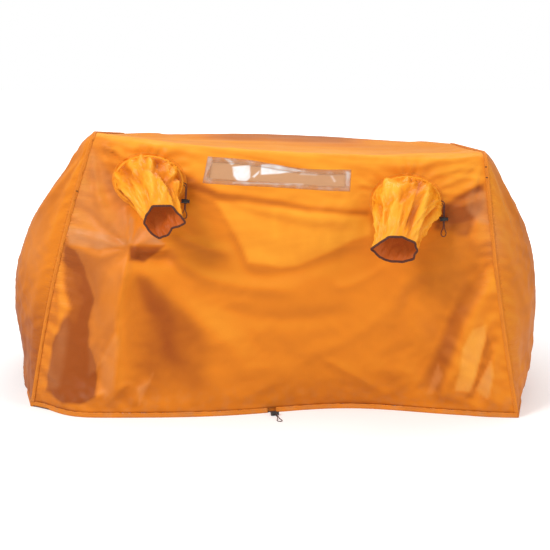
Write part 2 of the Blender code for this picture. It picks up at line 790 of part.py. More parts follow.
def build_hem_loop(group, cord):
    """Out of the casing's two ends, through the lock and down to the ground."""
    frame = outlet_frame()
    low = cord_height() / MM
    high = (LOCK_RADIUS + GAP) / MM
    lying = (CORD_RADIUS + GAP / 4) / MM
    half_pitch = CORD_PITCH / 2 / MM
    run_end = HEM_LOCK_OUT / MM + LOOP_PAST_LOCK
    route = [(OUTLET_WIDTH / 2 / MM + HEM_LOOP_START, 0.0, low)]
    for (x, y), rise in zip(HEM_LOOP_BENDS, HEM_LOOP_RISE):
        route.append((x, y, mix(low, high, rise)))
    for y in np.linspace(HEM_LOOP_STRAIGHT, run_end, LOOP_STRAIGHT_POINTS):
        route.append((half_pitch, -y, high))
    for x, y in LOOP_END:
        route.append((x, -run_end - y, mix(high, lying, min(1.0, y / LOOP_FALL))))
    route.append((0.0, -run_end - LOOP_TIP, lying))
    route += [(-x, y, z) for x, y, z in reversed(route[:-1])]
    build_loop("hem_cord_loop", route, frame, group, cord)


def build_vent_loop(side, group, cord):
    """Out of the collar's right-hand side, over, and down along the wall."""
    reach = VENT_HALF_WIDTH / MM
    level = COLLAR_GROOVE_AT / MM
    half_pitch = CORD_PITCH / 2 / MM
    run_end = VENT_LOCK_DROP / MM + VENT_LOOP_PAST_LOCK
    hang = [(half_pitch, y) for y in np.linspace(VENT_LOOP_STRAIGHT, run_end, LOOP_STRAIGHT_POINTS)]
    hang += [(x, run_end + y) for x, y in LOOP_END]
    hang.append((0.0, run_end + LOOP_TIP))
    hang += [(-x, y) for x, y in reversed(hang[:-1])]
    route = [(reach + x, y, level + z) for x, y, z in VENT_LOOP_OUTER]
    route += [(reach + VENT_LOOP_HANG + x, -y, VENT_LOOP_LEVEL) for x, y in hang]
    route += [(reach + x, y, level + z) for x, y, z in reversed(VENT_LOOP_INNER)]
    build_loop(side + "_vent_cord_loop", route, vent_frames()[side], group, cord)


def build_loop(name, route, frame, group, cord):
    points = [frame @ (Vector(point) * MM) for point in route]
    return tube(name, smooth_route(points, 5 * CORD_RADIUS), CORD_RADIUS, 1, group, cord)


# Snorkel vents, each in its own frame: X across, Y up the wall, Z outwards
def vent_frames():
    frames = {}
    spots = {"left": (LEFT_VENT_U, LEFT_VENT_W), "right": (RIGHT_VENT_U, RIGHT_VENT_W)}
    for side, (u, w) in spots.items():
        along, out, up = cloth_frame(u, w)
        frame = Matrix((along, up, out)).transposed().to_4x4()
        frame.translation = cloth_point(u, w)
        frames[side] = frame
    return frames


def ellipse(half_width, half_height, share):
    angle = 2 * math.pi * share
    return Vector((half_width * math.cos(angle), half_height * math.sin(angle), 0.0))


def ellipse_out(half_width, half_height, share):
    angle = 2 * math.pi * share
    out = Vector((half_height * math.cos(angle), half_width * math.sin(angle), 0.0))
    return out.normalized()


def build_collar(side, group, finish):
    frame = vent_frames()[side]
    around = COLLAR_FACETS
    half_groove = CORD_RADIUS + GAP
    depth = 2 * CORD_RADIUS + 2 * GAP
    profile = [
        (0.0, -COLLAR_IN),
        (0.0, COLLAR_GROOVE_AT - half_groove),
        (-depth, COLLAR_GROOVE_AT - half_groove),
        (-depth, COLLAR_GROOVE_AT + half_groove),
        (0.0, COLLAR_GROOVE_AT + half_groove),
        (0.0, COLLAR_OUT),
        (-COLLAR_WALL, COLLAR_OUT),
        (-COLLAR_WALL, -COLLAR_IN),
    ]

    def place(i, j):
        off, height = profile[j % len(profile)]
        share = (i % around) / around
        edge = ellipse(VENT_HALF_WIDTH, VENT_HALF_HEIGHT, share)
        out = ellipse_out(VENT_HALF_WIDTH, VENT_HALF_HEIGHT, share)
        return edge + out * (off - GAP) + Vector((0.0, 0.0, height))

    collar = sheet(side + "_vent_collar", around, len(profile), place, group, finish)
    collar.matrix_world = frame
    return collar


def build_collar_cord(side, group, finish):
    """Round the collar's groove, from just above its outlet to just below it."""
    frame = vent_frames()[side]
    ring = []
    for k in range(COLLAR_FACETS + 1):
        share = (k % COLLAR_FACETS) / COLLAR_FACETS
        edge = ellipse(VENT_HALF_WIDTH, VENT_HALF_HEIGHT, share)
        out = ellipse_out(VENT_HALF_WIDTH, VENT_HALF_HEIGHT, share)
        height = Vector((0.0, 0.0, COLLAR_GROOVE_AT))
        ring.append(edge - out * (CORD_RADIUS + 2 * GAP) + height)
    points = shortened(ring, VENT_LOOP_START * MM, VENT_LOOP_START * MM)
    cord = tube(side + "_vent_drawcord", points, CORD_RADIUS, 0, group, finish)
    cord.matrix_world = frame
    return cord


def sleeve_mouth(side):
    """The mouth's centre, its half width and how far it leans back from upright."""
    if side == "left":
        centre = LEFT_MOUTH_LEAN, -LEFT_MOUTH_DROP, MOUTH_OUT
        return Vector(centre), LEFT_MOUTH_HALF_WIDTH, math.radians(LEFT_MOUTH_TILT_DEG)
    centre = RIGHT_MOUTH_LEAN, -RIGHT_MOUTH_DROP, MOUTH_OUT
    return Vector(centre), RIGHT_MOUTH_HALF_WIDTH, math.radians(RIGHT_MOUTH_TILT_DEG)


def sleeve_ring(side, share):
    """Centre, half width and half-height vector of one of the sleeve's rings."""
    mouth, mouth_width, tilt = sleeve_mouth(side)
    lip = Vector((0.0, math.cos(tilt), math.sin(tilt))) * MOUTH_HALF_HEIGHT
    rise = VENT_HALF_HEIGHT - COLLAR_WALL / 2
    high = Vector((0.0, rise, COLLAR_OUT + GAP))
    low = Vector((0.0, -rise, COLLAR_OUT + GAP))
    high_bend = high + Vector((0.0, 0.0, SLEEVE_TOP_OUT))
    low_bend = low + Vector((0.0, 0.0, SLEEVE_UNDER_OUT))
    top = rounded(high, high_bend, mouth + lip, share)
    under = rounded(low, low_bend, mouth - lip, share)
    narrow = share**SLEEVE_NARROWING
    width = mix(VENT_HALF_WIDTH - COLLAR_WALL / 2, mouth_width, narrow)
    return (top + under) / 2, width, (top - under) / 2


def build_sleeve(side, pivot, group, cloth, dark):
    frame = vent_frames()[side]
    around = SLEEVE_FACETS
    rings = SLEEVE_RINGS

    def ring_point(share, part):
        centre, width, up = sleeve_ring(side, share)
        angle = 2 * math.pi * part
        across = Vector((width * math.cos(angle), 0.0, 0.0))
        return centre + across + up * math.sin(angle)

    def place(i, j):
        return frame @ ring_point(1 - j / rings, (i % around) / around)

    tilt = sleeve_mouth(side)[2]
    ahead = Vector((0.0, -math.sin(tilt), math.cos(tilt))) * (RIM_RADIUS + GAP)
    sleeve = sheet(side + "_vent_sleeve", around, rings, place, group, cloth)
    thicken(sleeve, CLOTH)
    rim = [frame @ (ring_point(1.0, k / around) + ahead) for k in range(around)]
    ring = tube(side + "_vent_rim", rim, RIM_RADIUS, 1, group, dark, cyclic=True)
    for piece in (sleeve, ring):
        hold(piece, pivot)
    return sleeve


def hold(piece, pivot):
    """Parents a piece to the empty on its joint's axis, where it stands."""
    piece.parent = pivot
    piece.matrix_parent_inverse = pivot.matrix_world.inverted()


def pivot_at(name, matrix, group):
    pivot = bpy.data.objects.new(name, None)
    group.objects.link(pivot)
    pivot.matrix_world = matrix
    bpy.context.view_layer.update()
    return pivot


def build_vents(group, cloth, tape, cord, dark):
    for side, frame in vent_frames().items():
        build_collar(side, group, tape)
        build_collar_cord(side, group, cord)
        build_vent_loop(side, group, cord)
        top = Vector((0.0, VENT_HALF_HEIGHT, COLLAR_OUT + GAP))
        pivot = pivot_at(side + "_vent_pivot", frame @ Matrix.Translation(top), group)
        build_sleeve(side, pivot, group, cloth, dark)


# Cord locks, each in its own frame: Z along the barrel, Y along the cord
def lock_frames():
    cord_first = Vector((0.0, 0.0, -LOCK_CORD_AT))
    frames = {}
    lying = Matrix(((0, 0, 1), (0, 1, 0), (-1, 0, 0))).to_4x4()
    spot = Matrix.Translation((0.0, -HEM_LOCK_OUT, LOCK_RADIUS + GAP))
    frames["hem"] = outlet_frame() @ spot @ lying @ Matrix.Translation(cord_first)
    for side, frame in vent_frames().items():
        across = VENT_HALF_WIDTH + VENT_LOOP_HANG * MM
        spot = Matrix.Translation((across, -VENT_LOCK_DROP, VENT_LOOP_LEVEL * MM))
        frames[side + "_vent"] = frame @ spot @ lying @ Matrix.Translation(cord_first)
    return frames


def build_lock(name, frame, group, cutters, plastic, steel):
    body = turned(
        name + "_lock_body",
        [
            (0.0, LOCK_FLOOR),
            (LOCK_BORE, LOCK_FLOOR),
            (LOCK_BORE, LOCK_LENGTH),
            (LOCK_RADIUS, LOCK_LENGTH),
            (LOCK_RADIUS, 0.0),
            (0.0, 0.0),
        ],
        TURNED_FACETS,
        group,
        plastic,
    )
    shaft = LOCK_BORE - GAP
    slot_low = LOCK_CORD_AT - SLOT_HALF_LENGTH
    slot_high = LOCK_CORD_AT + SLOT_HALF_LENGTH + LOCK_TRAVEL
    cap_low = max(LOCK_LENGTH + LOCK_TRAVEL + GAP, slot_high + LOCK_FLOOR)
    foot = slot_low - LOCK_FLOOR
    plunger = turned(
        name + "_lock_plunger",
        [
            (0.0, cap_low + LOCK_CAP),
            (LOCK_CAP_RADIUS - LOCK_CAP_EDGE, cap_low + LOCK_CAP),
            (LOCK_CAP_RADIUS, cap_low + LOCK_CAP - LOCK_CAP_EDGE),
            (LOCK_CAP_RADIUS, cap_low),
            (shaft, cap_low),
            (shaft, foot),
            (0.0, foot),
        ],
        TURNED_FACETS,
        group,
        plastic,
    )
    wide = 2 * LOCK_RADIUS
    slots = {
        body: (LOCK_CORD_AT - SLOT_HALF_LENGTH, LOCK_CORD_AT + SLOT_HALF_LENGTH),
        plunger: (slot_low, slot_high),
    }
    for piece, (low, high) in slots.items():
        corners = (-SLOT_HALF_WIDTH, -wide, low), (SLOT_HALF_WIDTH, wide, high)
        slot = block(piece.name + "_slot", *corners, cutters, plastic)
        slot.parent = piece
        cut(piece, slot)
    low = LOCK_FLOOR + GAP + SPRING_WIRE
    high = foot - GAP - SPRING_WIRE
    coil = []
    radius = LOCK_BORE - SPRING_WIRE - 3 * GAP
    corners = SPRING_FACETS * SPRING_TURNS
    for k in range(corners + 1):
        angle = 2 * math.pi * k / SPRING_FACETS
        rise = mix(low, high, k / corners)
        coil.append((radius * math.cos(angle), radius * math.sin(angle), rise))
    spring = tube(name + "_lock_spring", coil, SPRING_WIRE, 0, group, steel)
    for piece in (body, plunger, spring):
        piece.matrix_world = frame


# Pole pockets, seats and tab
def build_pockets(panel, group, finish):
    """Cups sewn inside the roof's corners, set against the cloth above them."""
    bpy.context.view_layer.update()
    cloth = BVHTree.FromObject(panel, bpy.context.evaluated_depsgraph_get())
    spots = {
        "front_left": (LEFT_PEAK_X + POCKET_INSET_X, FRONT_RIDGE_Y + POCKET_INSET_Y),
        "front_right": (RIGHT_PEAK_X - POCKET_INSET_X, FRONT_RIDGE_Y + POCKET_INSET_Y),
        "back_left": (LEFT_PEAK_X + POCKET_INSET_X, BACK_RIDGE_Y - POCKET_INSET_Y),
        "back_right": (RIGHT_PEAK_X - POCKET_INSET_X, BACK_RIDGE_Y - POCKET_INSET_Y),
    }
    crown = POCKET_SEAT + POCKET_WALL
    for name, (x, y) in spots.items():
        heights = []
        for k in range(TURNED_FACETS):
            angle = 2 * math.pi * k / TURNED_FACETS
            start = Vector((x + crown * math.cos(angle), y + crown * math.sin(angle), 0.0))
            hit = cloth.ray_cast(start, Vector((0.0, 0.0, 1.0)))[0]
            heights.append(hit.z)
        top = min(heights) - GAP
        pocket = turned(
            "pole_pocket_" + name,
            [
                (0.0, 0.0),
                (crown, 0.0),
                (POCKET_MOUTH + POCKET_WALL, -POCKET_DEPTH),
                (POCKET_MOUTH, -POCKET_DEPTH),
                (POCKET_SEAT, -POCKET_WALL),
                (0.0, -POCKET_WALL),
            ],
            TURNED_FACETS,
            group,
            finish,
        )
        pocket.location = (x, y, top)


def build_seats(group, finish):
    corner = FRAME_CORNER_COLUMN / END_COLUMNS
    for side, sign in (("left", 1), ("right", -1)):
        line = [end_hem(side, t) for t in (corner, 1 - corner)]
        edge = line[0].x + sign * (CASING_WIDTH / 2 + GAP)
        front = line[0].y + SEAT_END_CLEARANCE
        back = line[1].y - SEAT_END_CLEARANCE
        far = edge + sign * SEAT_DEPTH
        low = min(edge, far), front, 0.0
        high = max(edge, far), back, SEAT_THICKNESS
        hinge = Matrix.Translation((edge, (front + back) / 2, SEAT_THICKNESS))
        pivot = pivot_at(side + "_seat_pivot", hinge, group)
        seat = block(side + "_seat_panel", low, high, group, finish)
        bm = bmesh.new()
        bm.from_mesh(seat.data)
        upright = [line for line in bm.edges if line.verts[0].co.z * line.verts[1].co.z < 0]
        inner = [line for line in upright if line.verts[0].co.x * sign > 0]
        bmesh.ops.bevel(
            bm,
            geom=inner,
            offset=SEAT_CORNER,
            segments=SEAT_CORNER_FACETS,
            profile=0.5,
            affect="EDGES",
            material=-1,
        )
        bm.to_mesh(seat.data)
        bm.free()
        bpy.context.view_layer.update()
        hold(seat, pivot)


def build_tab(group, finish):
    """A loop of webbing sewn to the right end's hem, lying on the ground."""
    side = end_hem("right", 0.5).x + CASING_WIDTH / 2 + GAP
    bend = side + TAB_LENGTH - 2 * TAB_TURN

    def place(i, j):
        x = side
        z = TAB_THICKNESS / 2 if j == 0 else TAB_THICKNESS / 2 + 2 * TAB_TURN
        if 1 <= j <= TAB_FACETS + 1:
            angle = math.pi * (j - 1) / TAB_FACETS - math.pi / 2
            x = bend + TAB_TURN * math.cos(angle)
            z = TAB_THICKNESS / 2 + TAB_TURN * (1 + math.sin(angle))
        return Vector((x, TAB_Y + (i - 0.5) * TAB_WIDTH, z))

    tab = sheet("right_hem_tab", 1, TAB_FACETS + 2, place, group, finish)
    return thicken(tab, TAB_THICKNESS)


def main():
    clear_scene()
    group = collection("bothy_bag")
    cutters = collection("cutters")
    cloth = material("orange_cloth", (0.83, 0.28, 0.04), 0.45)
    tape = material("orange_tape", (0.80, 0.22, 0.03), 0.6)
    film = material("clear_film", (0.85, 0.72, 0.62), 0.1, alpha=0.5)
    dark = material("brown_binding", (0.10, 0.03, 0.02), 0.6)
    cord = material("dark_cord", (0.12, 0.03, 0.03), 0.7)
    plastic = material("black_plastic", (0.02, 0.02, 0.02), 0.4)
    steel = material("spring_steel", (0.6, 0.6, 0.6), 0.3, metallic=1.0)
    ground = material("seat_cloth", (0.30, 0.09, 0.03), 0.7)

    panel = build_main_panel(group, cutters, cloth)
    for side in ("left", "right"):
        build_end_panel(side, group, cloth)
        build_seam(side, group, tape)
    build_window(group, film, tape)
    build_hem(group, cloth, cord)
    build_hem_loop(group, cord)
    build_vents(group, cloth, tape, cord, dark)
    for name, frame in lock_frames().items():
        build_lock(name, frame, group, cutters, plastic, steel)
    build_pockets(panel, group, tape)
    build_seats(group, ground)
    build_tab(group, dark)


main()
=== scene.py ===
"""Dresses the group shelter in its cloth, film, cord, webbing and moulded parts.

Metres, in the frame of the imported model. Run as a script inside Blender.
"""

import math

import bmesh
import bpy
import numpy as np
from mathutils import Matrix, Vector


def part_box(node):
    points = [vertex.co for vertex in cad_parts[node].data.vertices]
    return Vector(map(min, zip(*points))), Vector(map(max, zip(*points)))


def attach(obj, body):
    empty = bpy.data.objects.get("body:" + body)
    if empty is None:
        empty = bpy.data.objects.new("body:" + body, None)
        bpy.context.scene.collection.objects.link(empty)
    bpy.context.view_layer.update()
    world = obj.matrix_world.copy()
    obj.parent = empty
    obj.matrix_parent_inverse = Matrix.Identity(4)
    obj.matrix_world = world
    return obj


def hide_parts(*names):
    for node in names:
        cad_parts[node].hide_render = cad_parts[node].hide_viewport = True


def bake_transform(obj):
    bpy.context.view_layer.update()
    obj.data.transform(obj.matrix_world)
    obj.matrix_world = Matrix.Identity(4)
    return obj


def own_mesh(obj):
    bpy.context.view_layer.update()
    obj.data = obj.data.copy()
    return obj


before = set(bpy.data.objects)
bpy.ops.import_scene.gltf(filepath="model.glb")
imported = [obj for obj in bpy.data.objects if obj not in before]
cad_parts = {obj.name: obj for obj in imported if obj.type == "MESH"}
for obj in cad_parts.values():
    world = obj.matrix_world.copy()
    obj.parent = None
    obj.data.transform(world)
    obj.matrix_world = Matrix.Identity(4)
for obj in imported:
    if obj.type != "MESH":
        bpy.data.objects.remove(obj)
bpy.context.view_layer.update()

bl_info = {
    "name": "Group Shelter Dressing",
    "version": (1, 0, 0),
    "blender": (4, 5, 0),
    "location": "View3D > Sidebar > Shelter",
    "description": "Cloth, vents, seams, cords and locks of a group shelter",
    "category": "Object",
}

MM = 0.001

# The photograph's camera, in pixels and metres, and the leaning plane that its pixels are read on
PHOTO_SIZE = 550
PHOTO_FOCAL = 1425.0
VIEW_DISTANCE = 4.544
VIEW_HEIGHT = 1.25
VIEW_PITCH = math.radians(11.2)
READ_FOOT_Y = -0.50
READ_LEAN = 0.10

# Plan and heights of the cloth
MIDDLE_Y = 0.056
FRONT_FOOT_Y = MIDDLE_Y - 0.49
BACK_FOOT_Y = MIDDLE_Y + 0.49
FRONT_RIDGE_Y = MIDDLE_Y - 0.42
BACK_RIDGE_Y = MIDDLE_Y + 0.42
LEFT_FOOT_X = -0.750
RIGHT_FOOT_X = 0.728
LEFT_PEAK_X = -0.535
RIGHT_PEAK_X = 0.622
FRONT_LEFT_HEIGHT = 0.850
FRONT_RIGHT_HEIGHT = 0.790
BACK_LEFT_HEIGHT = 0.765
BACK_RIGHT_HEIGHT = 0.730
FRONT_RIDGE_SAG = 0.020
BACK_RIDGE_HUMP = 0.028
RIDGE_RADIUS = 0.050
ROOF_SAG = 0.022
BACK_BELLY = 0.012
BACK_FOLD_DEPTH = 0.010
BACK_FOLDS = 7
LEFT_SEAM_BOW = 0.019
RIGHT_SEAM_BOW = 0.010
CORNER_SET_BACK = 0.120
CORNER_SET_BACK_WIDTH = 0.100
HEM_WAVE = 0.100
HEM_WAVE_X = 0.220
HEM_WAVE_WIDTH = 0.300
HEM_WAVE_RISE = 0.22
HEM_WAVE_END_U = 0.1
END_HEM_OUT = 0.035
END_BULGE = 0.160
END_BULGE_FOOT = 1.0
END_BULGE_HEAD = 0.95
END_BULGE_ROUND = 0.8
END_CORNER = 2 / 12

# Broad relief of the front wall
STAR_PUSH = 0.028
STAR_REACH = 0.090
STAR_U = 0.175
STAR_W = 0.600
SWAG_DEPTH = 0.014
SWAG_WIDTH = 0.085
SWAG_SIDE_W = 0.62
SWAG_MIDDLE_W = 0.55
SWAG_START_U = 0.2
SWAG_END_U = 0.9
FAN_DEPTH = 0.008
FAN_FOLDS = 4.0
FAN_REACH = 0.30
FAN_WIDTH = 0.22
FOLD_END_W = 0.98
FOLD_SIDE_FADE = 0.5
FOLD_TOP_FADE = 0.7
CALM_ABOVE_WINDOW = 0.040
CALM_ROUND_VENT = 1.15
CALM_FADE = 0.4

# Hem, seams and window
CASING_HEIGHT = 0.014
CASING_WALL = 0.0012
PANEL_FOOT_Z = CASING_HEIGHT + 0.0003
CORD_RADIUS = 0.00125
CORD_PITCH = 0.0031
GAP = 0.0003
OUTLET_X = -0.010
OUTLET_WIDTH = 0.021
WINDOW_LEFT_X = -0.191
WINDOW_WIDTH = 0.405
WINDOW_HEIGHT = 0.054
WINDOW_DROP = 0.055
WINDOW_LAP = 0.010
WINDOW_FRAME_IN = 0.005

# Vents
VENT_HALF_WIDTH = 0.100
VENT_HALF_HEIGHT = 0.074
VENTS = {"left": (0.170, 0.850), "right": (0.796, 0.815)}
COLLAR_OUT = 0.014
COLLAR_WALL = 0.0050
COLLAR_GROOVE_AT = 0.0085
SLEEVE_TOP_OUT = 0.100
SLEEVE_UNDER_OUT = 0.045
MOUTH_OUT = 0.135
MOUTH_HALF_HEIGHT = 0.045
MOUTHS = {
    "left": {"half_width": 0.061, "drop": 0.112, "tilt": 13.0, "lean": 0.060},
    "right": {"half_width": 0.066, "drop": 0.130, "tilt": 30.0, "lean": -0.044},
}
SLEEVE_NARROWING = 1.5

# Locks and free loops
LOCK_RADIUS = 0.0065
LOCK_BORE = 0.0049
LOCK_FLOOR = 0.0016
LOCK_LENGTH = 0.0185
LOCK_CORD_AT = 0.0120
LOCK_TRAVEL = 0.0030
LOCK_CAP_RADIUS = 0.0060
SPRING_WIRE = 0.00035
SPRING_TURNS = 4
LOCK_CAP = 0.0025
HEM_LOCK_OUT = 0.036
VENT_LOCK_DROP = 0.050
HEM_LOOP_START = -0.3
HEM_LOOP_BENDS = ((6.9, -0.2), (4.2, -1.9), (2.5, -4.6), (1.75, -8.2))
HEM_LOOP_RISE = (0.0, 0.0, 0.3, 0.8)
HEM_LOOP_STRAIGHT = 13.0
LOOP_STRAIGHT_POINTS = 6
LOOP_PAST_LOCK = 36.0
LOOP_END = ((2.6, 6.5), (5.4, 12.5), (7.4, 19.0), (6.4, 25.0), (3.3, 29.0))
LOOP_TIP = 30.2
LOOP_FALL = 15.0
VENT_LOOP_OUTER = (
    *((-2.4, 10.4, 0.0), (-1.4, 7.0, 0.2), (2.6, 3.2, 1.4)),
    *((8.2, 1.0, 2.8), (12.0, -6.0, 3.5)),
)
VENT_LOOP_INNER = (
    *((-2.4, -10.4, 0.0), (-1.4, -7.0, 0.2), (2.2, -3.6, 1.4)),
    *((6.4, -5.4, 2.8), (9.0, -11.0, 3.5)),
)
VENT_LOOP_HANG = 11.0
VENT_LOOP_LEVEL = 12.0
VENT_LOOP_STRAIGHT = 20.0
VENT_LOOP_PAST_LOCK = 22.0

# Seats, pockets and tab
SEAT_CORNER = 0.030
TAB_WIDTH = 0.012
TAB_LENGTH = 0.022
TAB_THICKNESS = 0.0015
TAB_TURN = 0.00135
TAB_Y = MIDDLE_Y - 0.200

# Spans that other measures are taken from
RIDGE_LENGTH = RIGHT_PEAK_X - LEFT_PEAK_X
ROOF_DEPTH = BACK_RIDGE_Y - FRONT_RIDGE_Y
STRIP_WIDTH = 1.28
LOWEST_CLOTH_Z = PANEL_FOOT_Z - 0.002
OUTLET_HALF_GAP = 0.966 * (OUTLET_WIDTH / 2 + 0.0006)
FAR = 9.0
END_U = {"left": 0, "right": 1}
SIGN = {"left": -1.0, "right": 1.0}
POCKETS = ("front_left", "front_right", "back_left", "back_right")

# Grids and lines: points along them
SEAM_POINTS = 620
HEM_POINTS = 700
END_GRID = (131, 141)
SLEEVE_GRID = (145, 81)
COARSE_MAIN_GRID = (64, 108)
COARSE_END_GRID = (44, 44)

# Heights that folds run out from at the roof's corners
LEFT_CORNER_Z = 0.83
RIGHT_CORNER_Z = 0.78
BACK_CORNER_Z = 0.79

# Where folds run together on the front wall, and the spot pinned for it while the cloth settles
STAR_X = -0.428
STAR_Z = 0.511
STAR_PIN_X = -0.43
STAR_PIN_Z = 0.51

# Gathers: their number round each vent and a seed; on the ends (y, z) and their number
VENT_GATHERS = {"left": (19, 1.3), "right": (23, 4.1)}
END_FOLDS_FROM = ((FRONT_RIDGE_Y, 0.80, 11), (BACK_RIDGE_Y, 0.79, 11), (-0.50, 0.0, 9), (0.55, 0.0, 10))

# Dents of the sleeves: depth, share of the length and its lean, length, turn, width
SLEEVE_DENTS = {
    "left": ((-0.013, 0.52, 0.12, 0.09, 1.2, 0.8), (0.007, 0.75, 0.0, 0.12, 2.4, 0.6)),
    "right": ((-0.012, 0.55, 0.0, 0.10, 2.1, 0.55),),
}

# Sections in millimetres: across and up, or radius and height
SEAM_PROFILE = (
    *((-2.4, 0.0), (-1.9, -1.5), (0.0, -2.2), (1.9, -1.6), (3.0, -0.9), (8.4, -0.7), (9.2, 0.2)),
    *((9.0, 1.0), (8.4, 1.3), (3.4, 1.4), (1.9, 1.9), (0.0, 2.5), (-1.9, 1.7)),
)
HEM_PROFILE = (
    *((-2.4, 0.0), (2.4, 0.0), (3.5, 1.0), (3.85, 3.2), (3.7, 6.2), (3.0, 8.6), (2.4, 10.8)),
    *((2.2, 12.6), (1.7, 14.4), (0.7, 15.4), (-0.7, 15.4), (-1.7, 14.4), (-2.2, 12.6)),
    *((-2.4, 10.8), (-3.0, 8.6), (-3.7, 6.2), (-3.85, 3.2), (-3.5, 1.0)),
)
COLLAR_PROFILE = (
    *((0.2, -8.4), (0.6, -3.0), (0.7, 1.0), (1.0, 4.2), (1.7, 6.6), (2.0, 8.6), (1.6, 10.8)),
    *((0.5, 13.0), (-1.4, 14.6), (-3.6, 14.2), (-4.8, 12.0), (-5.0, 6.0), (-5.0, -6.0)),
    *((-3.6, -8.6), (-1.6, -9.0)),
)
RIM_PROFILE = (
    *((2.3, -2.8), (2.8, 0.5), (2.1, 3.4), (0.0, 4.4)),
    *((-2.1, 3.4), (-2.8, 0.5), (-2.3, -2.8), (0.0, -3.4)),
)
POCKET_OUTSIDE = (
    *((0.0, 0.0), (9.6, 0.0), (10.6, -1.4), (12.2, -11.0)),
    *((14.0, -21.0), (15.6, -30.0), (16.6, -32.2), (16.5, -34.2)),
)
POCKET_INSIDE = (
    *((14.9, -34.0), (14.4, -30.0), (12.8, -21.0), (11.0, -11.0)),
    *((9.2, -2.2), (8.0, -1.2), (0.0, -1.2)),
)
POCKET_RADIUS = 0.014
PATCH_HALF = 0.036
# Cloth behind the drawcord's outlet: how far behind the wall's foot, and how high
OUTLET_CLOTH = ((3.0, 0.6), (3.6, 4.0), (3.6, 8.0), (3.0, 12.0), (2.0, 16.0), (1.3, 19.0), (1.0, 23.0))

# Stitches
STITCH_LIFT = 0.00012
STITCH_SHARES = (0.12, 0.30, 0.62, 0.80)
CLOSE_STITCHES = 0.0042
END_STITCH_T = 0.0065
WINDOW_STITCHES_IN = (0.0018, 0.0128)
SEAT_STITCHES_IN = 0.009
SEAT_STITCH_Z = 0.0022
SEAM_STITCHES_IN = (4.4, 7.6)
VENT_STITCHES_OUT = (1.6, 8.6)
HEM_STITCH_OUT = 2.4
HEM_STITCH_UP = 11.2
TACK_STITCHES = 16
TACK_PITCH = 0.36
TAB_STITCHES = ((2, -4), (7, -4), (7, 4), (2, 4), (2, -4), (7, 4))
TACKS = (("left", 0.79), ("right", 0.905), ("right", 0.945))

# Lock details
LOCK_SIDES = 64
LOCK_RIBS_AT = (0.40, 0.32, 0.24, 0.16)
LOCK_SHARP_ANGLE = math.radians(38)

# Colours that go with the ones a user changes
DUST_ON_CLOTH = (0.42, 0.26, 0.15)
DUST_ON_TAPE = (0.40, 0.26, 0.16)
DUST_ON_PLASTIC = (0.30, 0.25, 0.20)
STEEL_DARK = (0.42, 0.41, 0.40)
STEEL_LIGHT = (0.66, 0.66, 0.65)
FILM_HAZE_AND_GLARE = (0.88, 0.88, 0.88)
# Lit and shaded copies of the sleeve and seat cloth, for painted light and painted shade
SLEEVE_LIT = (0.95, 0.43, 0.035)
SLEEVE_SHADED = (0.52, 0.11, 0.004)
SEAT_LIT = (0.34, 0.11, 0.04)
SEAT_SHADED = (0.12, 0.03, 0.012)

# Lights: name, place, target, width and power
LAMPS = (
    ("key", (-2.4, -2.9, 3.2), (0.0, 0.0, 0.4), 1.4, 122.0),
    ("fill", (3.4, -3.0, 1.8), (0.2, 0.0, 0.4), 2.6, 52.0),
    ("top", (0.3, 0.9, 3.6), (0.0, 0.1, 0.6), 2.4, 42.0),
)

# How the cloth behaves while it settles
CLOTH_PHYSICS = {
    "quality": 6,
    "mass": 0.05,
    "tension_stiffness": 12.0,
    "compression_stiffness": 8.0,
    "shear_stiffness": 4.0,
    "bending_stiffness": 0.02,
    "tension_damping": 8.0,
    "bending_damping": 1.0,
    "air_damping": 2.0,
    "vertex_group_mass": "held",
}

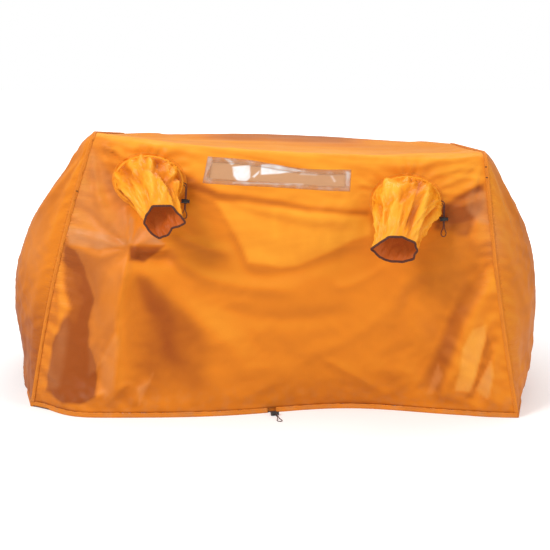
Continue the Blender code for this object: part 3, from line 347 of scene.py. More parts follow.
# Folds of the front wall: depth and width, then (x, z) knots, all in millimetres.
# A ridge is broad, a crest is sharp and a step stands out on its left side only. Below 0 they go in
FRONT_FOLDS = (
    ("ridge", -24, 48, ((-610, 500), (-579, 420), (-562, 339), (-563, 277), (-579, 189), (-600, 30))),
    ("ridge", 21, 36, ((-432, 500), (-454, 390), (-473, 306), (-468, 250), (-475, 132), (-495, 15))),
    ("crest", 8, 9, ((-432, 500), (-454, 390), (-473, 306), (-468, 250), (-475, 132), (-495, 15))),
    ("crest", 8, 10, ((-429, 509), (-435, 568), (-440, 636), (-446, 690))),
    ("ridge", 8, 15, ((-505, 820), (-470, 760), (-445, 690), (-425, 620), (-408, 575))),
    ("crest", 9, 11, ((-429, 512), (-541, 538), (-633, 556), (-680, 560))),
    ("ridge", -7, 13, ((-440, 520), (-500, 560), (-560, 610), (-610, 640))),
    ("crest", 5, 9, ((-429, 506), (-510, 482), (-601, 509), (-660, 520))),
    ("crest", 9, 9, ((-429, 506), (-382, 503), (-329, 506), (-290, 512))),
    ("ridge", -15, 20, ((-424, 486), (-380, 474), (-330, 478), (-292, 494))),
    ("crest", 6, 8, ((-429, 512), (-370, 538), (-310, 562))),
    ("crest", 5, 8, ((-424, 500), (-390, 480), (-365, 455))),
    ("ridge", 7, 36, ((-418, 476), (-318, 363), (-179, 250), (-60, 160))),
    ("ridge", -5, 42, ((-430, 440), (-370, 300), (-320, 180), (-290, 80))),
    ("crest", 8, 10, ((-507, 244), (-550, 162), (-559, 114))),
    ("crest", 9, 9, ((-468, 259), (-502, 189), (-544, 138), (-570, 110))),
    ("crest", 7, 9, ((-377, 117), (-413, 63), (-414, 29))),
    ("crest", 8, 9, ((-500, 85), (-524, 69), (-569, 54), (-608, 60))),
    ("ridge", -7, 12, ((-490, 210), (-515, 160), (-520, 110), (-500, 60))),
    ("crest", 6, 8, ((-440, 110), (-470, 80), (-520, 30))),
    ("ridge", 6, 14, ((-680, 470), (-655, 400), (-645, 300), (-662, 240), (-690, 190))),
    ("crest", 5, 9, ((-655, 360), (-640, 330), (-610, 310))),
    ("ridge", 6, 10, ((-493, 838), (-370, 809), (-206, 788))),
    ("ridge", -5, 9, ((-470, 830), (-330, 788), (-209, 764))),
    ("ridge", 5, 9, ((-405, 826), (-259, 759), (-209, 744))),
    ("ridge", 5, 10, ((-500, 800), (-440, 800), (-330, 812))),
    ("step", 15, 34, ((-300, 740), (-247, 703), (-177, 674), (-89, 627), (74, 586), (272, 566))),
    ("ridge", 6, 13, ((-305, 556), (-243, 527), (-178, 506), (-110, 490))),
    ("ridge", -5, 22, ((-148, 615), (-89, 444), (15, 429), (222, 488), (287, 547))),
    ("crest", 7, 9, ((600, 745), (545, 741), (490, 728), (440, 712))),
    ("crest", 6, 8, ((600, 720), (530, 709), (480, 690))),
    ("crest", 6, 8, ((590, 772), (488, 765), (420, 745), (380, 728))),
    ("crest", 5, 8, ((362, 716), (291, 738), (238, 746))),
    ("crest", 6, 8, ((330, 690), (280, 700), (236, 692))),
    ("crest", 6, 9, ((300, 656), (245, 655), (180, 640))),
    ("ridge", -6, 9, ((320, 672), (265, 678), (205, 668))),
    ("crest", 7, 10, ((480, 640), (566, 680), (620, 705))),
    ("crest", 7, 11, ((490, 600), (561, 639), (634, 662))),
    ("ridge", -8, 13, ((490, 620), (560, 660), (628, 684))),
    ("ridge", -6, 16, ((500, 570), (570, 590), (640, 610))),
    ("ridge", -14, 38, ((680, 540), (605, 444), (550, 363), (495, 250), (460, 132), (440, 20))),
    ("ridge", 13, 32, ((690, 430), (630, 363), (572, 250), (529, 132), (497, 20))),
    ("crest", 9, 12, ((670, 330), (640, 283), (609, 189), (566, 30))),
    ("ridge", -8, 12, ((660, 250), (630, 180), (605, 30))),
    ("crest", 8, 12, ((675, 220), (654, 156), (644, 25))),
    ("crest", 6, 9, ((560, 170), (544, 138), (515, 90), (503, 30))),
    ("ridge", 3, 20, ((420, 460), (330, 320), (200, 220), (40, 170))),
    ("crest", 4, 12, ((345, 470), (290, 430), (230, 400), (160, 385))),
    ("ridge", -5, 20, ((440, 430), (360, 270), (330, 110), (340, 20))),
    ("crest", 3, 10, ((130, 180), (209, 138), (302, 81), (354, 40))),
    ("ridge", 5, 13, ((-176, 792), (-59, 788), (74, 778), (221, 775))),
    ("ridge", 5, 20, ((-300, 480), (-200, 420), (-60, 390), (100, 380))),
    ("ridge", -4, 26, ((-180, 330), (-40, 300), (120, 300), (280, 330))),
)

# Facets of the front wall, painted where light comes through or lies on it differently:
# painted light (or painted shade, below 0), pale painted highlight, soft edge in millimetres, corners in
# pixels of the photograph
FRONT_FACETS = (
    (-1.35, 0.0, 8, (
        (59, 248), (69, 256), (79, 284), (87, 304), (84, 328), (82, 353), (92, 372), (94, 404), (78, 412),
        (59, 413), (38, 405), (47, 357), (57, 328), (65, 316), (57, 288),
    )),
    (-0.15, 0.18, 8, (
        (69, 252), (127, 250), (125, 268), (117, 300), (114, 330), (106, 350), (95, 375), (84, 382),
        (82, 350), (88, 304), (79, 284),
    )),
    (0.25, 0.0, 9, (
        (112, 268), (119, 268), (117, 290), (111, 318), (98, 345), (88, 350), (89, 320), (100, 290),
    )),
    (-1.0, 0.0, 6, ((130, 250), (164, 249), (158, 256), (142, 265), (128, 263))),
    (-0.3, 0.0, 26, ((127, 270), (170, 288), (198, 328), (210, 367), (198, 399), (119, 405), (117, 328))),
    (-0.42, 0.0, 70, ((150, 300), (178, 318), (192, 350), (186, 380), (150, 384), (132, 350))),
    (0.72, 0.0, 7, (
        (214, 203), (227, 223), (239, 247), (247, 266), (280, 272), (300, 268), (335, 256), (355, 243),
        (371, 237), (371, 219), (339, 217), (270, 211),
    )),
    (-0.6, 0.0, 7, (
        (178, 175), (198, 184), (217, 194), (280, 203), (310, 210), (369, 214), (369, 219), (310, 217),
        (280, 210), (217, 201), (196, 194), (180, 188),
    )),
    (0.58, 0.0, 12, (
        (105, 137), (200, 146), (350, 156), (485, 158), (487, 184), (442, 205), (370, 213), (310, 208),
        (216, 192), (178, 172), (120, 165),
    )),
    (-0.85, 0.05, 9, ((442, 208), (468, 196), (488, 188), (491, 205), (470, 240), (438, 233))),
    (0.0, 0.5, 7, ((468, 200), (478, 192), (490, 196), (492, 228), (482, 226), (470, 213))),
    (-0.12, 0.0, 16, ((419, 258), (440, 236), (468, 239), (488, 258), (448, 318), (428, 298))),
    (-0.62, 0.0, 13, (
        (488, 268), (466, 294), (450, 328), (440, 357), (420, 399), (443, 399), (460, 347), (469, 324),
        (488, 288),
    )),
    (0.8, 0.3, 5, ((476, 334), (489, 330), (487, 347), (474, 399), (459, 399), (465, 357))),
    (0.9, 0.5, 5, ((493, 367), (479, 397), (493, 407), (496, 380))),
    (-0.4, 0.0, 6, ((489, 338), (497, 357), (477, 405), (470, 405), (484, 367))),
    (0.05, 0.35, 14, ((88, 150), (100, 165), (112, 185), (128, 215), (127, 243), (66, 230), (70, 205))),
    (-0.3, 0.1, 10, ((104, 172), (116, 180), (124, 205), (118, 210), (106, 195))),
    (0.0, 0.7, 6, ((59, 230), (95, 235), (127, 243), (127, 249), (95, 254), (64, 248))),
    (0.0, 0.8, 5, ((131, 247), (138, 230), (150, 236), (164, 248))),
    (0.1, 0.95, 4, ((126, 216), (132, 223), (132, 247), (129, 247))),
    (0.1, 0.35, 7, ((97, 366), (113, 335), (117, 345), (113, 395), (104, 405), (98, 400))),
    (-0.15, 0.0, 30, ((190, 372), (250, 380), (350, 385), (400, 378), (430, 410), (190, 414))),
    (-0.25, 0.25, 8, ((40, 380), (60, 320), (62, 340), (52, 400), (38, 404))),
    (0.25, 0.35, 6, ((134, 392), (146, 385), (150, 378), (142, 395), (136, 410))),
    (0.25, 0.3, 5, ((440, 372), (446, 382), (436, 404), (430, 404))),
)

# Glare on the window's film, laid down in the same way
WINDOW_GLARE = (
    (0.0, 1.0, 2.2, ((232, 169), (249.5, 167.5), (250, 180), (246, 183.5), (237, 183.5), (233, 178))),
    (0.0, 1.0, 2.2, ((261, 167), (272, 166), (298, 172), (303, 173.5), (287, 175), (280, 176), (261, 177))),
    (0.0, 0.75, 1.5, ((223, 160), (229, 161), (234, 166), (231, 167.5))),
    (0.0, 0.42, 2.5, ((206, 157), (212, 157), (211, 166), (206, 176), (204, 178))),
    (0.0, 0.75, 1.5, ((252, 179), (259, 173), (258, 176.5), (254, 180))),
    (0.0, 0.35, 3.0, ((303, 173), (318, 174), (318, 178), (300, 177))),
    (0.0, 0.5, 1.5, ((347, 174), (352, 175), (351, 189), (347, 188))),
    (0.0, 0.4, 1.5, ((331, 178), (333, 178), (337, 184), (335, 185))),
    (0.0, 0.45, 1.2, ((232, 184.5), (304, 186.5), (304, 188), (232, 186))),
)

# Outlines of the vents' mouths: millimetres across, and shares of the half height up
MOUTH_OUTLINES = {
    "left": (
        *((61, 0.16), (48, 0.66), (18, 1.24), (-36, 1.12), (-50, 0.44), (-58, -0.12)),
        *((-36, -0.62), (-10, -1.02), (16, -0.66), (24, -0.26), (44, -0.10)),
    ),
    "right": (
        *((68, -0.05), (54, 0.58), (20, 0.98), (-16, 0.95), (-44, 0.50), (-64, -0.02)),
        *((-42, -0.60), (-8, -0.92), (26, -0.98), (55, -0.68)),
    ),
}

# Skins made so far, so that stitches and tapes can lie on them
SKINS = {}


# Settings
def number(name, description, default, **options):
    """A setting that is never negative."""
    return bpy.props.FloatProperty(name=name, description=description, default=default, min=0.0, **options)


def length(name, description, default):
    return number(name, description, default, unit="LENGTH")


def colour(name, description, default):
    texts = {"name": name, "description": description}
    return bpy.props.FloatVectorProperty(default=default, subtype="COLOR", **texts)


class ShelterCloth(bpy.types.PropertyGroup):
    """Sizes of the cloth and what is sewn to it"""

    thickness: length("Cloth thickness", "Coated cloth, one layer", 0.0005)
    glow: number("Glow in folds", "Light and shade through the slopes of the folds", 0.30)
    fold_depth: number("Fold depth", "Scales every fold of the walls", 0.85, subtype="FACTOR")
    slack: number("Slack", "Spare length the hanging cloth settles with", 0.03, subtype="FACTOR")
    settling: bpy.props.IntProperty(
        name="Settling steps", description="Steps of the cloth simulation", default=22, min=2
    )
    stitch_pitch: length("Stitch pitch", "From one stitch to the next", 0.0052)
    stitch_width: length("Thread", "Thread diameter as it shows", 0.0008)


class ShelterColours(bpy.types.PropertyGroup):
    """Colours of the shelter's finishes"""

    cloth: colour("Cloth", "Cloth in plain light", (0.72, 0.206, 0.010))
    # Lit and shaded copies of the cloth: painted light where light shows through it, painted shade in its
    # folds
    cloth_lit: colour("Lit cloth", "Thin cloth with light behind it", (0.92, 0.365, 0.026))
    cloth_shaded: colour("Deep cloth", "Cloth in its folds", (0.31, 0.064, 0.005))
    # Pale colour of the painted highlight, a sheen painted on the cloth
    bloom: colour("Bloom", "Pale bloom on the coating", (0.60, 0.245, 0.088))
    # Sleeve cloth painted lighter than the walls' cloth, as lit
    sleeve: colour("Sleeve", "Cloth of the vent sleeves", (0.86, 0.285, 0.010))
    tape: colour("Seam tape", "Felled seams and hem", (0.78, 0.225, 0.009))
    binding: colour("Binding", "Binding of the vent mouths and tab", (0.105, 0.027, 0.012))
    thread: colour("Thread", "Sewing thread", (0.86, 0.27, 0.022))
    cord: colour("Cord", "Draw cord", (0.055, 0.02, 0.018))
    plastic: colour("Plastic", "Moulded cord locks", (0.016, 0.014, 0.014))
    film: colour("Film", "Window film", (0.66, 0.35, 0.17))
    ground: colour("Seat cloth", "Heavier cloth of the seats", (0.24, 0.07, 0.025))


class ShelterView(bpy.types.PropertyGroup):
    """Where the camera stands"""

    distance: length("Distance", "Camera in front of the origin", VIEW_DISTANCE)
    height: length("Height", "Camera above the floor", VIEW_HEIGHT)
    pitch: number("Pitch", "How far it looks down", VIEW_PITCH, subtype="ANGLE")
    lens: number("Lens", "Focal length in millimetres", 93.27)


def cloth_settings():
    return bpy.context.scene.shelter_cloth


def colours():
    return bpy.context.scene.shelter_colours


# Numbers and noise
def mix(a, b, share):
    return a + (b - a) * share


def bump(distance, width):
    return np.exp(-((distance / width) ** 2))


def smooth(start, end, x):
    """0 before start, 1 after end."""
    share = np.clip((x - start) / (end - start), 0.0, 1.0)
    return share * share * (3 - 2 * share)


def scatter(a, b, seed):
    value = np.sin(a * 127.1 + b * 311.7 + seed * 74.7) * 43758.5453
    return value - np.floor(value)


def noise(x, y, seed=0.0):
    """Smooth noise from -1 to 1, one hill to a unit."""
    cell_x, cell_y = np.floor(x), np.floor(y)
    in_x, in_y = x - cell_x, y - cell_y
    ease_x, ease_y = (t**3 * (t * (t * 6 - 15) + 10) for t in (in_x, in_y))

    def corner(dx, dy):
        angle = 2 * np.pi * scatter(cell_x + dx, cell_y + dy, seed)
        return np.cos(angle) * (in_x - dx) + np.sin(angle) * (in_y - dy)

    low = mix(corner(0, 0), corner(1, 0), ease_x)
    high = mix(corner(0, 1), corner(1, 1), ease_x)
    return mix(low, high, ease_y) * 1.5


def creased(x, y, seed=0.0, octaves=3):
    """Noise whose hills meet in sharp crests, from 0 to about 1."""
    total, size, weight = 0.0, 1.0, 0.6
    for k in range(octaves):
        ridge = 1 - np.abs(noise(x * size, y * size, seed + 3.7 * k))
        total = total + weight * ridge * ridge
        size *= 2.1
        weight *= 0.45
    return total


def turned_by(x, y, degrees):
    angle = math.radians(degrees)
    return x * math.cos(angle) + y * math.sin(angle), y * math.cos(angle) - x * math.sin(angle)


def creases(x, y, turn, along, across, seed, octaves=3):
    """Creases that run at a turn in degrees, so many to a metre along and across, near 0 on average."""
    a, b = turned_by(x, y, turn)
    return creased(a * along, b * across, seed, octaves) - 0.6


def between(a, b, c, d, t):
    """A smooth curve from b (t 0) to c (1) that a and d lead into."""
    return (2 * b + (c - a) * t + (2 * a - 5 * b + 4 * c - d) * t * t + (3 * b - a - 3 * c + d) * t**3) / 2


def smooth_line(knots, parts):
    """A curve through the knots, in any number of dimensions."""
    knots = np.asarray(knots, float)
    if len(knots) < 3:
        return knots
    padded = np.vstack([2 * knots[0] - knots[1], knots, 2 * knots[-1] - knots[-2]])
    found = []
    for four in zip(padded, padded[1:], padded[2:], padded[3:]):
        found += [between(*four, t) for t in np.linspace(0.0, 1.0, parts, endpoint=False)]
    return np.array([*found, knots[-1]])


def beside_line(x, z, knots):
    """Signed distance from a line, left of it positive, and the share of its length reached."""
    line = smooth_line(knots, 5)
    steps = np.hypot(*(line[1:] - line[:-1]).T)
    done = np.concatenate([[0.0], np.cumsum(steps)])
    nearest = np.full(np.shape(x), np.inf)
    side, share = np.zeros(np.shape(x)), np.zeros(np.shape(x))
    for k, (a, step) in enumerate(zip(line, np.diff(line, axis=0))):
        t = np.clip(((x - a[0]) * step[0] + (z - a[1]) * step[1]) / steps[k] ** 2, 0.0, 1.0)
        off_x, off_z = x - a[0] - t * step[0], z - a[1] - t * step[1]
        away = np.hypot(off_x, off_z)
        closer = away < nearest
        nearest = np.where(closer, away, nearest)
        turn = np.sign(step[0] * off_z - step[1] * off_x)
        side = np.where(closer, turn * away, side)
        share = np.where(closer, (done[k] + t * steps[k]) / done[-1], share)
    return side, share


def travelled(line):
    """How far along a line each of its points lies."""
    return np.concatenate([[0.0], np.cumsum(np.linalg.norm(np.diff(line, axis=0), axis=1))])


def length_of(line):
    return float(travelled(line)[-1])


def read_at(values, far, wanted):
    """Rows of values, known at some lengths, at the wanted ones."""
    return np.stack([np.interp(wanted, far, axis) for axis in values.T], axis=-1)


def evenly(line, step):
    """Points about a step apart along a line, and the lengths at which they lie."""
    line = np.asarray(line, float)
    far = travelled(line)
    wanted = np.linspace(0.0, far[-1], max(2, round(far[-1] / step)) + 1)
    return read_at(line, far, wanted), wanted


# The cloth's plain surface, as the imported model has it
def ridge_height(u, face):
    if face == "front":
        return mix(FRONT_LEFT_HEIGHT, FRONT_RIGHT_HEIGHT, u) - FRONT_RIDGE_SAG * 4 * u * (1 - u)
    return mix(BACK_LEFT_HEIGHT, BACK_RIGHT_HEIGHT, u) + BACK_RIDGE_HUMP * 4 * u * (1 - u)


def wall_x(u, w):
    left = mix(LEFT_FOOT_X, LEFT_PEAK_X, w) - LEFT_SEAM_BOW * np.sin(np.pi * w)
    right = mix(RIGHT_FOOT_X, RIGHT_PEAK_X, w) - RIGHT_SEAM_BOW * np.sin(np.pi * w)
    return mix(left, right, u)


def wall_z(u, w, face):
    return mix(PANEL_FOOT_Z, ridge_height(u, face), w)


def away_from_openings(u, w):
    """1 where the front wall may fold, 0 near the window and the vents."""
    x = wall_x(u, w)
    z = wall_z(u, w, "front")
    window_x = WINDOW_LEFT_X + WINDOW_WIDTH / 2
    window_z = wall_z(0.5, 1.0, "front") - WINDOW_DROP - WINDOW_HEIGHT / 2
    out_x = np.maximum(0.0, np.abs(x - window_x) - WINDOW_WIDTH / 2 - WINDOW_LAP)
    out_z = np.maximum(0.0, np.abs(z - window_z) - WINDOW_HEIGHT / 2 - CALM_ABOVE_WINDOW)
    share = 1 - bump(np.hypot(out_x, out_z), WINDOW_HEIGHT / 2)
    for out, _ in round_vents(x, z).values():
        share = share * (1 - bump(np.maximum(0.0, out - CALM_ROUND_VENT), CALM_FADE))
    return share


def round_vents(x, z):
    """How far out from each vent's ellipse, 1 at its edge, and the turn round it."""
    found = {}
    for side, (u, w) in VENTS.items():
        across = (x - wall_x(u, w)) / VENT_HALF_WIDTH
        along = (z - wall_z(u, w, "front")) / VENT_HALF_HEIGHT
        found[side] = np.hypot(across, along), np.arctan2(along, across)
    return found


def front_relief(u, w):
    """The front wall's broad shape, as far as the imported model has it."""
    x = wall_x(u, w)
    z = wall_z(u, w, "front")
    star = np.hypot(x - wall_x(STAR_U, STAR_W), z - wall_z(STAR_U, STAR_W, "front"))
    relief = STAR_PUSH * np.exp(-star / STAR_REACH)
    middle = np.clip(np.sin(np.pi * u), 0.0, 1.0)
    swag_w = mix(SWAG_SIDE_W, SWAG_MIDDLE_W, middle)
    across = np.clip((u - SWAG_START_U) / (SWAG_END_U - SWAG_START_U), 0.0, 1.0)
    swag = bump((w - swag_w) * FRONT_LEFT_HEIGHT, SWAG_WIDTH) * np.sin(np.pi * across)
    turn = np.arctan2(RIGHT_FOOT_X - x, z) / (np.pi / 2)
    reach = np.hypot(RIGHT_FOOT_X - x, z)
    fan = np.sin(2 * np.pi * FAN_FOLDS * turn) * bump(reach - FAN_REACH, FAN_WIDTH)
    relief = (relief - SWAG_DEPTH * swag + FAN_DEPTH * fan) * middle**FOLD_SIDE_FADE
    relief = relief * np.clip(np.sin(np.pi * np.minimum(w, FOLD_END_W)), 0.0, 1.0) ** FOLD_TOP_FADE
    return relief * away_from_openings(u, w)


def stack(x, y, z):
    return np.stack(np.broadcast_arrays(x, y, z), axis=-1)


def plain_front(u, w):
    corner = CORNER_SET_BACK * bump(u * (RIGHT_FOOT_X - LEFT_FOOT_X), CORNER_SET_BACK_WIDTH)
    wave = HEM_WAVE * bump(wall_x(u, 0.0) - HEM_WAVE_X, HEM_WAVE_WIDTH)
    ends = np.minimum(1.0, np.minimum(u / HEM_WAVE_END_U, (1 - u) / HEM_WAVE_END_U))
    y = mix(FRONT_FOOT_Y, FRONT_RIDGE_Y, w)
    y = y + corner * (1 - w) + wave * ends * np.exp(-w / HEM_WAVE_RISE) * (1 - w)
    return stack(wall_x(u, w), y - front_relief(u, w), wall_z(u, w, "front"))


def plain_back(u, w):
    y = mix(BACK_FOOT_Y, BACK_RIDGE_Y, w)
    edge = np.sin(np.pi * u) * np.sin(np.pi * w)
    y = y + edge * (BACK_BELLY + BACK_FOLD_DEPTH * np.sin(BACK_FOLDS * np.pi * u))
    return stack(wall_x(u, w), y, wall_z(u, w, "back"))


def plain_roof(u, w):
    w = np.asarray(w, float)[..., None]
    point = mix(plain_front(u, 1.0), plain_back(u, 1.0), w)
    sag = ROOF_SAG * np.sin(np.pi * w[..., 0]) * np.clip(np.sin(np.pi * u), 0.0, 1.0) ** 0.5
    point[..., 2] -= sag
    return point


def rounded(before, corner, after, share):
    """A bend from one point to another that a corner draws out."""
    share = np.asarray(share)[..., None]
    first = mix(before, corner, share)
    return mix(first, mix(corner, after, share), share)


def window_hang(u, row):
    """How far up the cloth round the window hangs out of square, as a share of the wall."""
    along = (u - WINDOW_START) / (WINDOW_END - WINDOW_START)
    top = 9 - 20 * smooth(0.15, 0.75, along) + 2 * smooth(0.8, 1.0, along)
    bottom = 6 - 5 * smooth(0.4, 1.0, along)
    up = np.clip((row - WINDOW_BOTTOM) / (WINDOW_TOP - WINDOW_BOTTOM), 0.0, 1.0)
    near = smooth(WINDOW_START - 0.06, WINDOW_START - 0.01, u)
    near = near * smooth(WINDOW_END + 0.055, WINDOW_END + 0.01, u)
    near = near * smooth(WINDOW_BOTTOM - 0.07, WINDOW_BOTTOM - 0.015, row)
    near = near * smooth(0.995, WINDOW_TOP + 0.012, row)
    return mix(bottom, top, up) * MM / WALL_HEIGHT * near


def cloth_point(u, row):
    """Row 0 to 1 is the front, 1 to 2 the roof, 2 to 3 the back."""
    u, row = np.broadcast_arrays(np.asarray(u, float), np.asarray(row, float))
    row = row + window_hang(u, row)
    wall, roof = RIDGE_RADIUS / FRONT_LEFT_HEIGHT, RIDGE_RADIUS / ROOF_DEPTH
    front = plain_front(u, np.clip(row, 0.0, 1.0))
    top = plain_roof(u, np.clip(row - 1, 0.0, 1.0))
    back = plain_back(u, np.clip(3 - row, 0.0, 1.0))
    found = np.where((row <= 1)[..., None], front, np.where((row <= 2)[..., None], top, back))
    low, high = np.full(u.shape, roof), np.full(u.shape, 1 - roof)
    for ridge, before, after, bend in (
        (1, wall, roof, (plain_front(u, 1 - wall), plain_front(u, 1.0), plain_roof(u, low))),
        (2, roof, wall, (plain_roof(u, high), plain_back(u, 1.0), plain_back(u, 1 - wall))),
    ):
        step = (row - ridge) / np.where(row < ridge, before, after)
        near = (row > ridge - before) & (row < ridge + after)
        found = np.where(near[..., None], rounded(*bend, np.clip((1 + step) / 2, 0.0, 1.0)), found)
    return found


def unit(vectors):
    return vectors / np.maximum(np.linalg.norm(vectors, axis=-1, keepdims=True), 1e-12)


def cloth_frame(u, row, probe=0.004):
    """Along +X, outwards and up the cloth."""
    along = unit(cloth_point(u + probe, row) - cloth_point(u - probe, row))
    up = cloth_point(u, row + probe) - cloth_point(u, row - probe)
    out = unit(np.cross(along, up))
    return along, out, unit(np.cross(out, along))


def u_at(x, w):
    return (x - wall_x(0.0, w)) / (wall_x(1.0, w) - wall_x(0.0, w))


WALL_HEIGHT = ridge_height(0.5, "front") - PANEL_FOOT_Z
WINDOW_TOP = 1 - WINDOW_DROP / WALL_HEIGHT
WINDOW_BOTTOM = WINDOW_TOP - WINDOW_HEIGHT / WALL_HEIGHT
WINDOW_START = u_at(WINDOW_LEFT_X, WINDOW_TOP)
WINDOW_END = u_at(WINDOW_LEFT_X + WINDOW_WIDTH, WINDOW_TOP)
LAP_U = WINDOW_LAP / RIDGE_LENGTH
LAP_W = WINDOW_LAP / WALL_HEIGHT
FRAME_U = WINDOW_FRAME_IN / RIDGE_LENGTH
FRAME_W = WINDOW_FRAME_IN / WALL_HEIGHT
TAPE_SIDES = (WINDOW_START - LAP_U, WINDOW_END + LAP_U, WINDOW_BOTTOM - LAP_W, WINDOW_TOP + LAP_W)


def vent_frame(side):
    """The vent's own frame: X across, Y up the wall, Z outwards."""
    u, w = VENTS[side]
    along, out, up = (Vector(axis) for axis in cloth_frame(u, w))
    made = Matrix((along, up, out)).transposed().to_4x4()
    made.translation = Vector(cloth_point(u, w))
    return made


def outlet_frame():
    """The drawcord's outlet on the ground: X along the hem, Y into the shelter."""
    line = front_hem_knots()
    for a, b in zip(line, line[1:]):
        if a[0] <= OUTLET_X < b[0]:
            start = Vector(a).lerp(Vector(b), (OUTLET_X - a[0]) / (b[0] - a[0]))
            along = (Vector(b) - start).normalized()
    inwards = Vector((-along.y, along.x, 0.0))
    made = Matrix((along, inwards, Vector((0.0, 0.0, 1.0)))).transposed().to_4x4()
    made.translation = start
    return made


def front_hem_knots():
    """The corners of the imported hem's front, left to right, on the ground."""
    left = np.linspace(0.0, WINDOW_START - LAP_U, 7)
    middle = np.linspace(WINDOW_START, WINDOW_END, 6)
    right = np.linspace(WINDOW_END + LAP_U, 1.0, 7)
    points = plain_front(np.concatenate([left, middle, right]), 0.0)
    points[:, 2] = 0.0
    return points


def lock_frame(name):
    """A cord lock's frame: Z along its barrel, Y along the cord."""
    lying = Matrix(((0, 0, 1), (0, 1, 0), (-1, 0, 0))).to_4x4()
    cord_first = Matrix.Translation((0.0, 0.0, -LOCK_CORD_AT))
    if name == "hem":
        spot = Matrix.Translation((0.0, -HEM_LOCK_OUT, LOCK_RADIUS + GAP))
        return outlet_frame() @ spot @ lying @ cord_first
    across = VENT_HALF_WIDTH + VENT_LOOP_HANG * MM
    spot = Matrix.Translation((across, -VENT_LOCK_DROP, VENT_LOOP_LEVEL * MM))
    return vent_frame(name) @ spot @ lying @ cord_first


# Node trees
def feed(tree, made, values):
    """Links a node's inputs to sockets, or sets them to values."""
    for name, value in values.items():
        if isinstance(value, bpy.types.NodeSocket):
            tree.links.new(value, made.inputs[name])
        else:
            made.inputs[name].default_value = value


def node(tree, kind, inputs=None, **settings):
    """A node with its settings and its inputs."""
    made = tree.nodes.new(kind)
    for name, value in settings.items():
        setattr(made, name, value)
    feed(tree, made, inputs or {})
    return made


def maths(tree, operation, *values):
    return node(tree, "ShaderNodeMath", dict(enumerate(values)), operation=operation).outputs[0]


def times(tree, a, b):
    return maths(tree, "MULTIPLY", a, b)


def blended(tree, share, a, b):
    """Two colours mixed by a share."""
    inputs = {0: share}
    for slot, value in ((6, a), (7, b)):
        inputs[slot] = value if isinstance(value, bpy.types.NodeSocket) else (*value, 1.0)
    return node(tree, "ShaderNodeMix", inputs, data_type="RGBA").outputs[2]


def remapped(tree, value, low, high, to_low=0.0, to_high=1.0):
    inputs = {"Value": value, "From Min": low, "From Max": high, "To Min": to_low, "To Max": to_high}
    return node(tree, "ShaderNodeMapRange", inputs).outputs["Result"]


def noise_node(tree, vector, scale, detail=2.0, kind="FBM", distortion=0.0):
    inputs = {"Vector": vector, "Scale": scale, "Detail": detail, "Distortion": distortion}
    return node(tree, "ShaderNodeTexNoise", inputs, noise_type=kind).outputs["Fac"]


def axes(tree, vector):
    return node(tree, "ShaderNodeSeparateXYZ", {"Vector": vector}).outputs


def place_on(tree):
    """A point's place in the object, in metres."""
    return node(tree, "ShaderNodeTexCoord").outputs["Object"]


def laid_out(tree):
    """A point's place on the flat cloth, in metres."""
    return node(tree, "ShaderNodeUVMap", uv_map="UVMap").outputs["UV"]


def painted(tree, name):
    """What grid_mesh has painted on the piece under this name."""
    return node(tree, "ShaderNodeAttribute", attribute_name=name).outputs["Fac"]


def group(name, inputs, outputs, build):
    """A shader group, built once; inputs are (name, kind, default), and outputs are numbers."""
    if name in bpy.data.node_groups:
        return bpy.data.node_groups[name]
    tree = bpy.data.node_groups.new(name, "ShaderNodeTree")
    for label, kind, default in inputs:
        socket = tree.interface.new_socket(name=label, in_out="INPUT", socket_type="NodeSocket" + kind)
        if default is not None:
            socket.default_value = default
    for label in outputs:
        tree.interface.new_socket(name=label, in_out="OUTPUT", socket_type="NodeSocketFloat")
    taken = tree.nodes.new("NodeGroupInput").outputs
    feed(tree, tree.nodes.new("NodeGroupOutput"), build(tree, taken))
    return tree


def use(tree, made, inputs):
    """The outputs of a group placed in a tree with these inputs."""
    return node(tree, "ShaderNodeGroup", inputs, node_tree=made).outputs


def weave_group():
    """Plain weave with a faint square of thicker threads."""

    def build(tree, taken):
        waves, lines = [], []
        apart = axes(tree, taken["Vector"])
        for axis in (0, 1):
            turns = maths(tree, "DIVIDE", apart[axis], taken["Thread"])
            waves.append(maths(tree, "SINE", times(tree, turns, math.pi)))
            cells = maths(tree, "DIVIDE", apart[axis], taken["Square"])
            edge = maths(tree, "ABSOLUTE", maths(tree, "SUBTRACT", maths(tree, "FRACT", cells), 0.5))
            lines.append(remapped(tree, edge, 0.44, 0.49))
        squares = maths(tree, "MAXIMUM", *lines)
        total = maths(tree, "ADD", times(tree, times(tree, *waves), 0.5), times(tree, squares, 0.5))
        return {"Height": total, "Squares": squares}

    inputs = [("Vector", "Vector", None), ("Thread", "Float", 0.0006), ("Square", "Float", 0.006)]
    return group("plain_weave", inputs, ("Height", "Squares"), build)


def crinkle_group():
    """Small creases of coated cloth that has been stuffed in its sack."""

    def build(tree, taken):
        vector = taken["Vector"]
        scale = maths(tree, "DIVIDE", 1.0, taken["Size"])
        warp = node(tree, "ShaderNodeTexNoise", {"Vector": vector, "Scale": 9.0}).outputs["Color"]
        push = (0.012, 0.012, 0.012)
        pushed = node(tree, "ShaderNodeVectorMath", {0: warp, 1: push}, operation="MULTIPLY")
        moved = node(tree, "ShaderNodeVectorMath", {0: vector, 1: pushed.outputs[0]}, operation="ADD")
        moved = moved.outputs[0]
        fine = noise_node(tree, moved, scale, 3.0, "RIDGED_MULTIFRACTAL", 0.4)
        broad = noise_node(tree, moved, times(tree, scale, 0.35), 2.0, "RIDGED_MULTIFRACTAL", 0.8)
        where = remapped(tree, noise_node(tree, vector, 6.0, 1.0), 0.40, 0.66, 0.25, 1.0)
        both = maths(tree, "ADD", times(tree, fine, 0.35), times(tree, broad, 0.65))
        return {"Height": times(tree, both, where)}

    return group("stuffed_creases", [("Vector", "Vector", None), ("Size", "Float", 0.02)], ["Height"], build)


